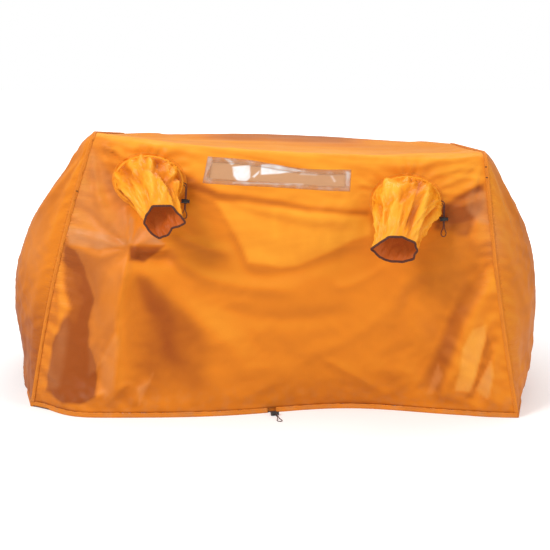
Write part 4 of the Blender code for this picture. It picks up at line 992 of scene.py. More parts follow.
def pucker_group():
    """Short gathers square to a seam; X runs along the gathers and Y along the seam."""

    def build(tree, taken):
        apart = axes(tree, taken["Vector"])
        slow = times(tree, apart[0], 0.22)
        joined = node(tree, "ShaderNodeCombineXYZ", {"X": slow, "Y": apart[1], "Z": 0.0}).outputs[0]
        waves = noise_node(tree, joined, maths(tree, "DIVIDE", 1.0, taken["Size"]), 2.0, "FBM", 0.3)
        return {"Height": times(tree, waves, taken["Amount"])}

    inputs = [("Vector", "Vector", None), ("Size", "Float", 0.012), ("Amount", "Float", 1.0)]
    return group("seam_gathers", inputs, ["Height"], build)


def wear_group():
    """Handling marks all over, and dust where the cloth meets the ground."""

    def build(tree, taken):
        place = place_on(tree)
        low = remapped(tree, axes(tree, place)["Z"], 0.0, taken["Reach"], 1.0, 0.0)
        speckle = remapped(tree, noise_node(tree, place, 38.0, 5.0), 0.45, 0.75)
        rubbed = remapped(tree, noise_node(tree, place, 11.0, 6.0, "FBM", 0.6), 0.35, 0.70)
        return {"Dust": times(tree, times(tree, low, speckle), taken["Dust"]), "Rubbed": rubbed}

    inputs = [("Reach", "Float", 0.10), ("Dust", "Float", 0.5)]
    return group("handling_wear", inputs, ("Dust", "Rubbed"), build)


def material(name, paint):
    """A material, built once: paint gives the shader's inputs, and (height, depth) of its bumps."""
    if name in bpy.data.materials:
        return bpy.data.materials[name]
    made = bpy.data.materials.new(name)
    made.use_nodes = True
    tree = made.node_tree
    values, heights = paint(tree)
    for height, depth in heights:
        inputs = {"Height": height, "Distance": depth, "Strength": 1.0}
        if "Normal" in values:
            inputs["Normal"] = values["Normal"]
        values["Normal"] = node(tree, "ShaderNodeBump", inputs).outputs["Normal"]
    feed(tree, tree.nodes["Principled BSDF"], values)
    return made


def scaled(base, by, more=0.0):
    """A colour made lighter or darker."""
    return tuple(min(1.0, by * part + more) for part in base)


def cloth_finish(name, plain, lit, deep, roughness=0.50, crease=0.0013, sheen=0.0):
    """Thin coated nylon, its colour from the painted light and shade, random tone and painted highlight on
    the piece.
    """

    def paint(tree):
        vector = laid_out(tree)
        bloom = painted(tree, "bloom")
        weave = use(tree, weave_group(), {"Vector": vector, "Thread": 0.0007, "Square": 0.0062})
        crinkle = use(tree, crinkle_group(), {"Vector": vector, "Size": 0.022})
        gathers = {"Vector": vector, "Size": 0.009, "Amount": painted(tree, "gathers")}
        pucker = use(tree, pucker_group(), gathers)
        wear = use(tree, wear_group(), {"Reach": 0.12, "Dust": 0.5})
        cloudy = remapped(tree, noise_node(tree, vector, 5.0, 4.0), 0.3, 0.7, -0.07, 0.07)
        level = maths(tree, "ADD", painted(tree, "tone"), cloudy)
        # Painted light and shade: the painted level mixes the plain colour toward lit, and toward deep, the
        # shaded colour
        shade = blended(tree, remapped(tree, level, 0.0, 1.0), plain, lit)
        shade = blended(tree, remapped(tree, level, 0.0, -1.0), shade, deep)
        speck = remapped(tree, noise_node(tree, vector, 900.0, 2.0), 0.35, 0.65, 0.0, 0.10)
        shade = blended(tree, speck, shade, deep)
        shade = blended(tree, times(tree, weave["Squares"], 0.05), shade, deep)
        # The pale painted highlight laid over it
        shade = blended(tree, bloom, shade, colours().bloom)
        shade = blended(tree, times(tree, wear["Dust"], 0.35), shade, DUST_ON_CLOTH)
        rough = remapped(tree, wear["Rubbed"], 0.0, 1.0, roughness - 0.05, roughness + 0.07)
        values = {
            "Base Color": shade,
            "Roughness": maths(tree, "SUBTRACT", rough, times(tree, bloom, 0.10)),
            "Sheen Weight": sheen,
            "Sheen Roughness": 0.45,
            "Specular IOR Level": 0.16,
        }
        return values, [(weave["Height"], 0.00004), (crinkle["Height"], crease), (pucker["Height"], 0.006)]

    return material(name, paint)


def tape_finish(name, base, rib=0.0011, roughness=0.6):
    """Woven tape or webbing: ribs across it, painted darker in their hollows as shade, threads worn paler on
    its crests.
    """

    def paint(tree):
        vector = laid_out(tree)
        weave = use(tree, weave_group(), {"Vector": vector, "Thread": rib, "Square": 4 * rib})
        crinkle = use(tree, crinkle_group(), {"Vector": vector, "Size": 0.012})
        wear = use(tree, wear_group(), {"Reach": 0.06, "Dust": 0.7})
        ribs = remapped(tree, weave["Height"], -0.5, 0.5)
        # Painted shade: darker in the hollows between the ribs
        shade = blended(tree, ribs, scaled(base, 0.62), base)
        shade = blended(tree, times(tree, wear["Rubbed"], 0.35), shade, scaled(base, 1.35, 0.01))
        values = {
            "Base Color": blended(tree, times(tree, wear["Dust"], 0.4), shade, DUST_ON_TAPE),
            "Roughness": remapped(tree, wear["Rubbed"], 0.0, 1.0, roughness - 0.08, roughness + 0.1),
            "Sheen Weight": 0.05,
            "Specular IOR Level": 0.3,
        }
        return values, [(weave["Height"], 0.00025), (crinkle["Height"], 0.0006)]

    return material(name, paint)


def cord_finish():
    """Braided cord: crossing strands that wind round it, painted lighter on the strands and darker between
    them as shade.
    """

    def paint(tree):
        base = colours().cord
        place = place_on(tree)
        turned = node(tree, "ShaderNodeMapping", {"Vector": place, "Rotation": (0.6, 0.7, 0.4)}).outputs[0]
        apart = axes(tree, turned)
        strands = []
        for a, b, sign in ((0, 1, "ADD"), (1, 2, "SUBTRACT")):
            both = maths(tree, sign, apart[a], apart[b])
            strands.append(maths(tree, "SINE", times(tree, both, 4200.0)))
        braid = maths(tree, "MAXIMUM", *strands)
        fuzz = noise_node(tree, place, 900.0, 4.0)
        share = times(tree, remapped(tree, braid, -0.2, 1.0), remapped(tree, fuzz, 0.3, 0.7, 0.5, 1.0))
        values = {
            # Painted shade between the strands, painted light on them
            "Base Color": blended(tree, share, scaled(base, 0.6), scaled(base, 2.2, 0.02)),
            "Roughness": remapped(tree, fuzz, 0.3, 0.7, 0.6, 0.8),
            "Sheen Weight": 0.05,
            "Specular IOR Level": 0.3,
        }
        return values, [(braid, 0.0002), (fuzz, 0.0001)]

    return material("braided_cord", paint)


def plastic_finish():
    """Moulded plastic with a fine texture, shinier where hands rub it."""

    def paint(tree):
        base = colours().plastic
        grain = noise_node(tree, place_on(tree), 2600.0, 3.0)
        wear = use(tree, wear_group(), {"Reach": 0.05, "Dust": 0.6})
        shade = blended(tree, remapped(tree, grain, 0.3, 0.7), base, scaled(base, 1.5, 0.006))
        values = {
            "Base Color": blended(tree, times(tree, wear["Dust"], 0.25), shade, DUST_ON_PLASTIC),
            "Roughness": remapped(tree, wear["Rubbed"], 0.0, 1.0, 0.30, 0.5),
        }
        return values, [(grain, 0.00005)]

    return material("black_moulded_plastic", paint)


def steel_finish():
    """Drawn spring wire."""

    def paint(tree):
        drawn = noise_node(tree, place_on(tree), 1500.0, 3.0, "FBM", 1.5)
        values = {
            "Base Color": blended(tree, remapped(tree, drawn, 0.35, 0.65), STEEL_DARK, STEEL_LIGHT),
            "Roughness": remapped(tree, drawn, 0.3, 0.7, 0.22, 0.38),
            "Metallic": 1.0,
        }
        return values, [(drawn, 0.00003)]

    return material("spring_steel_wire", paint)


def film_finish(name, alpha, haze_and_glare):
    """Soft clear film, hazy where it has been creased, and whitened further by painted glare."""

    def paint(tree):
        vector = laid_out(tree)
        crinkle = use(tree, crinkle_group(), {"Vector": vector, "Size": 0.016})
        fine = noise_node(tree, vector, 160.0, 4.0)
        white = times(tree, remapped(tree, crinkle["Height"], 0.3, 1.1), haze_and_glare)
        # Painted glare: the painted highlight adds to the haze
        white = maths(tree, "MINIMUM", maths(tree, "ADD", white, painted(tree, "bloom")), 1.0)
        cover = maths(tree, "ADD", times(tree, white, 0.45), alpha)
        values = {
            "Base Color": blended(tree, white, colours().film, FILM_HAZE_AND_GLARE),
            "Alpha": maths(tree, "MINIMUM", cover, 1.0),
            "Roughness": remapped(tree, fine, 0.3, 0.7, 0.08, 0.22),
            "Coat Weight": 0.6,
            "Coat Roughness": 0.06,
        }
        return values, [(crinkle["Height"], 0.0012), (fine, 0.0001)]

    return material(name, paint)


def orange_cloth():
    tones = colours()
    return cloth_finish("orange_coated_cloth", tones.cloth, tones.cloth_lit, tones.cloth_shaded)


def sleeve_cloth():
    return cloth_finish("vent_sleeve_cloth", colours().sleeve, SLEEVE_LIT, SLEEVE_SHADED, 0.36, 0.0012)


def sleeve_inside():
    """Inner side of the sleeves: its colours darkened as painted shade, and a faint painted glow for the
    daylight that comes through.
    """
    lit, deep = (0.42, 0.090, 0.006), (0.28, 0.048, 0.003)
    made = cloth_finish("vent_sleeve_inside", (0.36, 0.068, 0.004), lit, deep)
    # Painted glow: the inside emits a little light
    glow = {"Emission Color": (0.90, 0.20, 0.04, 1.0), "Emission Strength": 0.20}
    feed(made.node_tree, made.node_tree.nodes["Principled BSDF"], glow)
    return made


def seat_cloth():
    return cloth_finish("seat_cloth_coated", colours().ground, SEAT_LIT, SEAT_SHADED, 0.55, 0.0010, 0.2)


def seam_tape():
    return tape_finish("orange_seam_tape", colours().tape)


def brown_binding():
    return tape_finish("brown_binding_tape", colours().binding, rib=0.0009, roughness=0.68)


def thread():
    return tape_finish("orange_thread", colours().thread, rib=0.0003, roughness=0.55)


# Pieces
def link(name, data, finish):
    """A new object in the scene, in its finish."""
    made = bpy.data.objects.new(name, data)
    bpy.context.scene.collection.objects.link(made)
    made.data.materials.append(finish)
    return made


def fitted(made, body, packed=None):
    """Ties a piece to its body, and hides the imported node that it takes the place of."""
    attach(made, body)
    if packed:
        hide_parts(packed)


def mesh_from(name, bm):
    """A mesh from a bmesh, which is freed."""
    mesh = bpy.data.meshes.new(name)
    bm.to_mesh(mesh)
    bm.free()
    return mesh


def grid_mesh(name, points, keep=None, ring=False, **fields):
    """A grid of faces over a (columns, rows, 3) array, with its UVs in metres."""
    columns, rows = points.shape[0] - 1, points.shape[1] - 1
    bm = bmesh.new()
    bmesh.ops.create_grid(bm, x_segments=columns, y_segments=rows, size=0.5)
    mesh = mesh_from(name, bm)
    flat = np.empty(3 * len(mesh.vertices))
    mesh.vertices.foreach_get("co", flat)
    i = np.rint((flat[0::3] + 0.5) * columns).astype(int)
    j = np.rint((flat[1::3] + 0.5) * rows).astype(int)
    mesh.vertices.foreach_set("co", points[i, j].ravel())
    corners = np.empty(len(mesh.loops), int)
    mesh.loops.foreach_get("vertex_index", corners)
    layer = mesh.uv_layers.new(name="UVMap")
    layer.data.foreach_set("uv", lengths_over(points)[i, j][corners].ravel())
    for label in ("tone", "bloom", "gathers"):
        field = np.broadcast_to(fields.get(label, 0.0), points.shape[:2])
        made = mesh.attributes.new(label, "FLOAT", "POINT")
        made.data.foreach_set("value", np.ascontiguousarray(field[i, j], dtype=float))
    if keep is not None or ring:
        bm = bmesh.new()
        bm.from_mesh(mesh)
        if keep is not None:
            unwanted = []
            for face in bm.faces:
                cell = min(i[v.index] for v in face.verts), min(j[v.index] for v in face.verts)
                if not keep[cell]:
                    unwanted.append(face)
            bmesh.ops.delete(bm, geom=unwanted, context="FACES")
        if ring:
            bmesh.ops.remove_doubles(bm, verts=bm.verts, dist=1e-6)
        bm.to_mesh(mesh)
        bm.free()
    mesh.update()
    mesh.shade_smooth()
    return mesh


def lengths_over(points):
    """Metres along the middle column and row of a grid, as its UVs."""
    columns, rows = points.shape[:2]
    far = travelled(points[:, rows // 2]), travelled(points[columns // 2])
    return np.stack(np.meshgrid(*far, indexing="ij"), axis=-1)


def cloth_piece(name, points, finish, thickness=None, offset=-1.0, **options):
    """A sheet over a grid of points, as thick as cloth where a thickness is given."""
    made = link(name, grid_mesh(name, points, **options), finish)
    if thickness:
        wall = made.modifiers.new("Cloth", "SOLIDIFY")
        wall.thickness = thickness
        wall.offset = offset
    return made


def closed_up(mesh, caps=False):
    """Turns a mesh's faces outwards, once its open ends are filled."""
    bm = bmesh.new()
    bm.from_mesh(mesh)
    if caps:
        bmesh.ops.holes_fill(bm, edges=[edge for edge in bm.edges if edge.is_boundary], sides=0)
    bmesh.ops.recalc_face_normals(bm, faces=bm.faces)
    bm.to_mesh(mesh)
    bm.free()
    mesh.shade_smooth()


def grid_normals(points, out):
    """Unit normals of a grid, on the side where out points."""
    normal = unit(np.cross(np.gradient(points, axis=0), np.gradient(points, axis=1)))
    flip = np.sign((normal * out).sum(-1, keepdims=True))
    return normal * np.where(flip == 0, 1.0, flip)


class Skin:
    """A made surface that other pieces lie on."""

    def __init__(self, points, normals, across, along):
        self.points = points
        self.normals = normals
        self.across = across
        self.along = along

    def at(self, a, b, lift=0.0):
        """Points and normals where the grid's own measures are a and b."""
        i = np.interp(a, self.across, np.arange(len(self.across)))
        j = np.interp(b, self.along, np.arange(len(self.along)))
        i0 = np.clip(np.floor(i).astype(int), 0, len(self.across) - 2)
        j0 = np.clip(np.floor(j).astype(int), 0, len(self.along) - 2)
        s, t = (i - i0)[..., None], (j - j0)[..., None]
        found = []
        for grid in (self.points, self.normals):
            low = mix(grid[i0, j0], grid[i0 + 1, j0], s)
            found.append(mix(low, mix(grid[i0, j0 + 1], grid[i0 + 1, j0 + 1], s), t))
        return found[0] + found[1] * lift, unit(found[1])


def settled(points, held):
    """How far slack cloth moves from a coarse grid when it hangs from its held points."""
    scene = bpy.context.scene
    made = cloth_piece("settling_cloth", points, seam_tape())
    rows = points.shape[1]
    flat = np.empty(3 * len(made.data.vertices))
    pins = made.vertex_groups.new(name="held")
    pins.add([int(k) for k in np.flatnonzero(held.T)], 1.0, "REPLACE")
    cloth = made.modifiers.new("Settling", "CLOTH")
    slack = -cloth_settings().slack
    for name, value in (*CLOTH_PHYSICS.items(), ("shrink_min", slack), ("shrink_max", slack)):
        setattr(cloth.settings, name, value)
    cloth.collision_settings.use_collision = False
    cloth.point_cache.frame_start = 1
    cloth.point_cache.frame_end = cloth_settings().settling
    for step in range(1, cloth_settings().settling + 1):
        scene.frame_set(step)
    shown = made.evaluated_get(bpy.context.evaluated_depsgraph_get())
    shown.to_mesh().vertices.foreach_get("co", flat)
    moved = flat.reshape(rows, -1, 3).transpose(1, 0, 2) - points
    shown.to_mesh_clear()
    scene.frame_set(1)
    bpy.data.objects.remove(made, do_unlink=True)
    return moved


def slack_over(points, held, limit, columns, rows):
    """The settling of a coarse grid at finer columns and rows, no further than the limit."""
    moved = settled(points, held)
    moved = cubic(cubic(moved, columns * (len(moved) - 1), 0), rows * (moved.shape[1] - 1), 1)
    size = np.linalg.norm(moved, axis=-1, keepdims=True)
    return moved * (np.tanh(size / limit) * limit / np.maximum(size, 1e-9))


def cubic(grid, where, axis):
    """A grid read smoothly between its rows along one axis."""
    grid = np.moveaxis(grid, axis, 0)
    low = np.clip(np.floor(where).astype(int), 0, grid.shape[0] - 2)
    t = (where - low).reshape(-1, *([1] * (grid.ndim - 1)))
    four = (np.clip(low + step, 0, grid.shape[0] - 1) for step in (-1, 0, 1, 2))
    return np.moveaxis(between(*(grid[k] for k in four), t), 0, axis)


def loft(name, line, across, up, profile, finish, sway):
    """A closed profile of (across, up) pairs carried along a line, with both ends closed."""
    shapes = np.asarray(profile, float)[None] * sway[..., None]
    shapes = np.concatenate([shapes, shapes[:, :1]], axis=1)
    points = line[:, None] + across[:, None] * shapes[..., :1] + up[:, None] * shapes[..., 1:2]
    made = cloth_piece(name, points, finish, ring=True)
    closed_up(made.data, caps=True)
    return made


def tube(name, runs, radius, resolution):
    """A round curve with a run for each list of points."""
    curve = bpy.data.curves.new(name, "CURVE")
    curve.dimensions = "3D"
    curve.bevel_depth = radius
    curve.bevel_resolution = resolution
    curve.use_fill_caps = True
    for run in runs:
        spline = curve.splines.new("POLY")
        spline.points.add(len(run) - 1)
        spline.points.foreach_set("co", np.column_stack([run, np.ones(len(run))]).ravel())
    return curve


def from_curve(name, runs, radius, finish, resolution=0):
    """A mesh of round threads, one for each run of points."""
    holder = bpy.data.objects.new(name, tube(name, runs, radius, resolution))
    bpy.context.scene.collection.objects.link(holder)
    shown = holder.evaluated_get(bpy.context.evaluated_depsgraph_get())
    mesh = bpy.data.meshes.new_from_object(shown)
    mesh.name = name
    bpy.data.objects.remove(holder, do_unlink=True)
    mesh.materials.clear()
    if not mesh.uv_layers:
        mesh.uv_layers.new(name="UVMap")
    mesh.shade_smooth()
    return link(name, mesh, finish)


def stitch_runs(points, normals, pitch):
    """Short arched stitches along a line that lies on a surface."""
    width = cloth_settings().stitch_width
    line, far = evenly(points, pitch)
    out = unit(read_at(normals, travelled(points), far))
    high, low = STITCH_LIFT + 0.3 * width, -0.35 * width
    runs = []
    for a, b, n in zip(line, line[1:], out):
        lifts = zip(STITCH_SHARES, (low, high, high, low))
        runs.append([a + share * (b - a) + n * up for share, up in lifts])
    return runs


def sewn(name, lines, body="shelter", pitch=None, finish=None):
    """One piece of thread for several (points, normals) lines."""
    runs = []
    for points, normals in lines:
        runs += stitch_runs(points, normals, pitch or cloth_settings().stitch_pitch)
    made = from_curve(name, runs, cloth_settings().stitch_width / 2, finish or thread())
    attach(made, body)


# Stage
class SHELTER_OT_stage(bpy.types.Operator):
    """Floor, soft lights and the camera"""

    bl_idname = "shelter.stage"
    bl_label = "Stage"

    def execute(self, context):
        scene = context.scene
        view = scene.shelter_view
        camera = bpy.data.cameras.new("photograph_view")
        camera.lens = view.lens
        camera.sensor_width = 36.0
        camera.clip_end = 100.0
        holder = bpy.data.objects.new("photograph_view", camera)
        holder.location = (0.0, -view.distance, view.height)
        holder.rotation_euler = (math.pi / 2 - view.pitch, 0.0, 0.0)
        scene.collection.objects.link(holder)
        scene.camera = holder
        scene.view_settings.view_transform = "Standard"
        self.floor()
        self.world(scene)
        self.lamps(scene)
        return {"FINISHED"}

    def floor(self):
        def paint(tree):
            place = place_on(tree)
            cloudy = remapped(tree, noise_node(tree, place, 1.5, 3.0), 0.3, 0.7)
            ray = node(tree, "ShaderNodeLightPath").outputs["Is Camera Ray"]
            out = node(tree, "ShaderNodeVectorMath", {0: place}, operation="LENGTH").outputs["Value"]
            values = {
                "Base Color": blended(tree, cloudy, (0.80, 0.80, 0.80), (0.82, 0.82, 0.82)),
                "Roughness": 0.9,
                "Specular IOR Level": 0.1,
                "Emission Color": (1.0, 1.0, 1.0, 1.0),
                "Emission Strength": times(tree, ray, remapped(tree, out, 1.0, 3.0, 0.28, 1.0)),
            }
            return values, []

        bm = bmesh.new()
        bmesh.ops.create_grid(bm, x_segments=8, y_segments=8, size=14.0)
        link("floor", mesh_from("floor", bm), material("pale_floor", paint))

    def world(self, scene):
        world = bpy.data.worlds.new("studio")
        world.use_nodes = True
        scene.world = world
        tree = world.node_tree
        tree.nodes.clear()
        path = node(tree, "ShaderNodeLightPath").outputs
        seen = maths(tree, "MAXIMUM", path["Is Camera Ray"], path["Is Transmission Ray"])
        strength = remapped(tree, seen, 0.0, 1.0, 0.55, 1.0)
        light = node(tree, "ShaderNodeBackground", {"Color": (1.0, 1.0, 1.0, 1.0), "Strength": strength})
        node(tree, "ShaderNodeOutputWorld", {"Surface": light.outputs[0]})

    def lamps(self, scene):
        for name, place, target, size, power in LAMPS:
            lamp = bpy.data.lights.new(name, "AREA")
            lamp.shape = "DISK"
            lamp.size = size
            lamp.energy = power
            holder = bpy.data.objects.new(name, lamp)
            holder.location = place
            aim = Vector(target) - Vector(place)
            holder.rotation_euler = aim.to_track_quat("-Z", "Y").to_euler()
            scene.collection.objects.link(holder)


# Cords
def there_and_back(run_end, half_pitch, straight):
    """Along one side of a loop, round its end and back on its other side, in millimetres."""
    way = [(half_pitch, y) for y in np.linspace(straight, run_end, LOOP_STRAIGHT_POINTS)]
    way += [(x, run_end + y) for x, y in LOOP_END]
    way.append((0.0, run_end + LOOP_TIP))
    return way + [(-x, y) for x, y in reversed(way[:-1])]


def hem_route():
    """Out of the casing's two ends, through the lock and down to the ground."""
    low = (CASING_WALL + GAP + CORD_RADIUS) / MM
    high = (LOCK_RADIUS + GAP) / MM
    lying = (CORD_RADIUS + GAP / 4) / MM
    run_end = HEM_LOCK_OUT / MM + LOOP_PAST_LOCK
    route = [(OUTLET_WIDTH / 2 / MM + HEM_LOOP_START, 0.0, low)]
    for (x, y), rise in zip(HEM_LOOP_BENDS, HEM_LOOP_RISE):
        route.append((x, y, mix(low, high, rise)))
    back = [(-x, y, z) for x, y, z in reversed(route)]
    for x, y in there_and_back(run_end, CORD_PITCH / 2 / MM, HEM_LOOP_STRAIGHT):
        fall = np.clip((y - run_end) / LOOP_FALL, 0.0, 1.0)
        route.append((x, -y, mix(high, lying, fall)))
    return route + back


def vent_route():
    """Out of the collar's right-hand side, over, and down along the wall."""
    reach = VENT_HALF_WIDTH / MM
    level = COLLAR_GROOVE_AT / MM
    run_end = VENT_LOCK_DROP / MM + VENT_LOOP_PAST_LOCK
    hang = there_and_back(run_end, CORD_PITCH / 2 / MM, VENT_LOOP_STRAIGHT)
    route = [(reach + x, y, level + z) for x, y, z in VENT_LOOP_OUTER]
    route += [(reach + VENT_LOOP_HANG + x, -y, VENT_LOOP_LEVEL) for x, y in hang]
    return route + [(reach + x, y, level + z) for x, y, z in reversed(VENT_LOOP_INNER)]


class SHELTER_OT_cords(bpy.types.Operator):
    """The free loops of draw cord at the hem and at both vents"""

    bl_idname = "shelter.cords"
    bl_label = "Draw cord loops"

    def execute(self, context):
        self.loop("hem", outlet_frame(), hem_route(), "loose")
        self.loop("left_vent", vent_frame("left"), vent_route(), "hanging")
        self.loop("right_vent", vent_frame("right"), vent_route(), "hanging")
        return {"FINISHED"}

    def loop(self, name, place, route, lay):
        line = smooth_line([place @ (Vector(point) * MM) for point in route], 12)
        points, _ = evenly(line, 2 * CORD_RADIUS)
        curve = tube(name + "_loop", [points], CORD_RADIUS, 4)
        cord = link(name + "_loop", curve, cord_finish())
        fitted(cord, "shelter", name + "_cord_loop")
        tuple(points[0])
        round(length_of(points), 3)


# Cord locks
def spun(bm, profile, steps):
    """Turns a profile of (radius, height) pairs right round Z."""
    corners = [bm.verts.new((radius, 0.0, height)) for radius, height in profile]
    edges = [bm.edges.new(pair) for pair in zip(corners, corners[1:])]
    bmesh.ops.spin(
        bm,
        geom=corners + edges,
        cent=(0.0, 0.0, 0.0),
        axis=(0.0, 0.0, 1.0),
        angle=2 * math.pi,
        steps=steps,
        use_merge=True,
        use_duplicate=False,
    )
    bmesh.ops.remove_doubles(bm, verts=bm.verts, dist=1e-6)
    bmesh.ops.recalc_face_normals(bm, faces=bm.faces)


def slot_cutter(name, low, high):
    """A flat bar with rounded ends, as wide and high as the cord's slot."""
    half = CORD_RADIUS + GAP
    bm = bmesh.new()
    bmesh.ops.create_cube(bm, size=1.0)
    bmesh.ops.scale(bm, vec=(2 * half, 6 * LOCK_RADIUS, high - low), verts=bm.verts)
    bmesh.ops.translate(bm, vec=(0.0, 0.0, (low + high) / 2), verts=bm.verts)
    upright = [edge for edge in bm.edges if abs(edge.verts[0].co.y - edge.verts[1].co.y) > LOCK_RADIUS]
    round_off = {"offset": 0.9 * half, "segments": 4, "profile": 0.5, "affect": "EDGES", "material": -1}
    bmesh.ops.bevel(bm, geom=upright, **round_off)
    cutter = bpy.data.objects.new(name, mesh_from(name, bm))
    bpy.context.scene.collection.objects.link(cutter)
    return cutter


def slotted(name, profile, low, high, place, finish):
    """A turned piece with the cord's slot cut through it, set in its place."""
    bm = bmesh.new()
    spun(bm, profile, LOCK_SIDES)
    made = link(name, mesh_from(name, bm), finish)
    cutter = slot_cutter(name + "_slot", low, high)
    cut = made.modifiers.new("Slot", "BOOLEAN")
    cut.operation = "DIFFERENCE"
    cut.solver = "EXACT"
    cut.object = cutter
    bpy.context.view_layer.update()
    shown = made.evaluated_get(bpy.context.evaluated_depsgraph_get())
    done = bpy.data.meshes.new_from_object(shown)
    done.name = name
    made.modifiers.clear()
    made.data = done
    bpy.data.objects.remove(cutter, do_unlink=True)
    done.transform(place)
    done.shade_smooth()
    done.set_sharp_from_angle(angle=LOCK_SHARP_ANGLE)
    return made


def barrel_profile():
    """The lock's barrel from its floor up inside, over the rim and down its ribbed outside."""
    edge, rib = 0.5 * MM, 0.35 * MM
    profile = [(0.0, LOCK_FLOOR), (LOCK_BORE, LOCK_FLOOR), (LOCK_BORE, LOCK_LENGTH - edge)]
    profile += [(LOCK_BORE + edge / 2, LOCK_LENGTH), (LOCK_RADIUS - edge, LOCK_LENGTH)]
    profile += [(LOCK_RADIUS, LOCK_LENGTH - edge), (LOCK_RADIUS, 0.85 * LOCK_LENGTH)]
    for share in LOCK_RIBS_AT:
        at = share * LOCK_LENGTH
        profile += [(LOCK_RADIUS, at + rib), (LOCK_RADIUS - rib, at), (LOCK_RADIUS, at - rib)]
    profile += [(LOCK_RADIUS, 0.9 * MM), (LOCK_RADIUS - 0.35 * MM, 0.3 * MM), (LOCK_RADIUS - 1.0 * MM, 0.0)]
    return profile + [(0.0, 0.0)]


def plunger_profile(slot_low, cap_low):
    """The push button from its dished top down over its cap and shaft."""
    shaft, foot = LOCK_BORE - GAP, slot_low - LOCK_FLOOR
    top = cap_low + LOCK_CAP
    profile = [(0.0, top - 0.35 * MM), (2.6 * MM, top - 0.3 * MM), (3.3 * MM, top), (4.9 * MM, top)]
    profile += [(5.6 * MM, top - 0.3 * MM), (LOCK_CAP_RADIUS, top - 0.9 * MM)]
    profile += [(LOCK_CAP_RADIUS, cap_low + 0.4 * MM), (LOCK_CAP_RADIUS - 0.4 * MM, cap_low)]
    return profile + [(shaft, cap_low), (shaft, foot), (0.0, foot)]


class SHELTER_OT_locks(bpy.types.Operator):
    """Barrel cord locks with their push buttons and springs"""

    bl_idname = "shelter.locks"
    bl_label = "Cord locks"

    def execute(self, context):
        half = CORD_PITCH / 2 + CORD_RADIUS + GAP
        low, high = LOCK_CORD_AT - half, LOCK_CORD_AT + half
        cap_low = max(LOCK_LENGTH + LOCK_TRAVEL + GAP, high + LOCK_TRAVEL + LOCK_FLOOR)
        push = plunger_profile(low, cap_low)
        finish = plastic_finish()
        for name, body in (("hem", "hem_lock"), ("left", "left_vent_lock"), ("right", "right_vent_lock")):
            place = lock_frame(name)
            barrel = slotted(body + "_barrel", barrel_profile(), low, high, place, finish)
            fitted(barrel, body, body + "_body")
            button = slotted(body + "_push", push, low, high + LOCK_TRAVEL, place, finish)
            fitted(button, body + "_button", body + "_plunger")
            self.spring(body, place, low - LOCK_FLOOR)
        return {"FINISHED"}

    def spring(self, body, place, foot):
        """A coil under the button, as long as it is while the button is not pressed."""
        low, high = LOCK_FLOOR + GAP, foot - GAP
        turn = np.linspace(0.0, 2 * np.pi * SPRING_TURNS, 24 * SPRING_TURNS + 1)
        rise = mix(low + SPRING_WIRE, high - SPRING_WIRE, turn / turn[-1])
        radius = LOCK_BORE - SPRING_WIRE - 3 * GAP
        coil = placed(place, stack(radius * np.cos(turn), radius * np.sin(turn), rise))
        made = from_curve(body + "_coil", [coil], SPRING_WIRE, steel_finish(), resolution=1)
        fitted(made, body, body + "_spring")
        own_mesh(made)


# Walls and roof
def lines_to_cut(*stops):
    """Grid lines through every stop, each with its number of steps to the next."""
    lines = []
    for (start, steps), (end, _) in zip(stops, stops[1:]):
        lines.append(np.linspace(start, end, steps, endpoint=False))
    return np.concatenate([*lines, [stops[-1][0]]])


def folded(x, z, folds):
    """The sum of the listed folds at these places."""
    relief = np.zeros(np.shape(x))
    for kind, depth, width, knots in folds:
        side, share = beside_line(x, z, np.array(knots) * MM)
        fade = smooth(0.0, 0.16, share) * smooth(0.0, 0.22, 1 - share)
        reach = side / (width * MM * (0.75 + 0.5 * share))
        if kind == "ridge":
            shape = np.exp(-(reach**2))
        elif kind == "crest":
            shape = np.exp(-np.abs(reach) ** 1.15)
        else:
            shape = 1.38 * np.clip(reach + 0.25, 0.0, None) * np.exp(-(reach**2))
        relief += depth * MM * shape * fade
    return relief


def read_on_front(pixels):
    """Where the photograph shows these pixels on the front wall: (x, z), to the millimetre."""
    across, down = (np.array(pixels, float).T - PHOTO_SIZE / 2) / PHOTO_FOCAL
    ahead = math.cos(VIEW_PITCH) - down * math.sin(VIEW_PITCH)
    fall = math.sin(VIEW_PITCH) + down * math.cos(VIEW_PITCH)
    far = (READ_FOOT_Y + READ_LEAN * VIEW_HEIGHT + VIEW_DISTANCE) / (ahead + READ_LEAN * fall)
    return np.round(np.stack([far * across, VIEW_HEIGHT - far * fall], axis=-1), 3)


def facets(x, z, areas):
    """Painted light and shade, and painted highlight, of soft-edged polygons laid over one another."""
    tone, bloom = np.zeros(np.shape(x)), np.zeros(np.shape(x))
    for lighter, paler, soft, pixels in areas:
        corners = read_on_front(pixels)
        near = np.full(np.shape(x), FAR)
        inside = np.zeros(np.shape(x), bool)
        for (ax, az), (bx, bz) in zip(corners, np.roll(corners, -1, axis=0)):
            squared = (bx - ax) ** 2 + (bz - az) ** 2
            share = np.clip(((x - ax) * (bx - ax) + (z - az) * (bz - az)) / squared, 0.0, 1.0)
            near = np.minimum(near, np.hypot(x - ax - share * (bx - ax), z - az - share * (bz - az)))
            crossing = (az > z) != (bz > z)
            inside ^= crossing & (x < ax + (z - az) * (bx - ax) / (bz - az if bz != az else 1.0))
        soft = soft * MM * 1.15
        amount = smooth(-soft, soft, np.where(inside, near, -near))
        amount *= 0.72 + 0.45 * creased(x * 9.0, z * 5.0, 87.0 + lighter, 2)
        tone += lighter * amount
        bloom = np.maximum(bloom, paler * amount)
    return tone, bloom


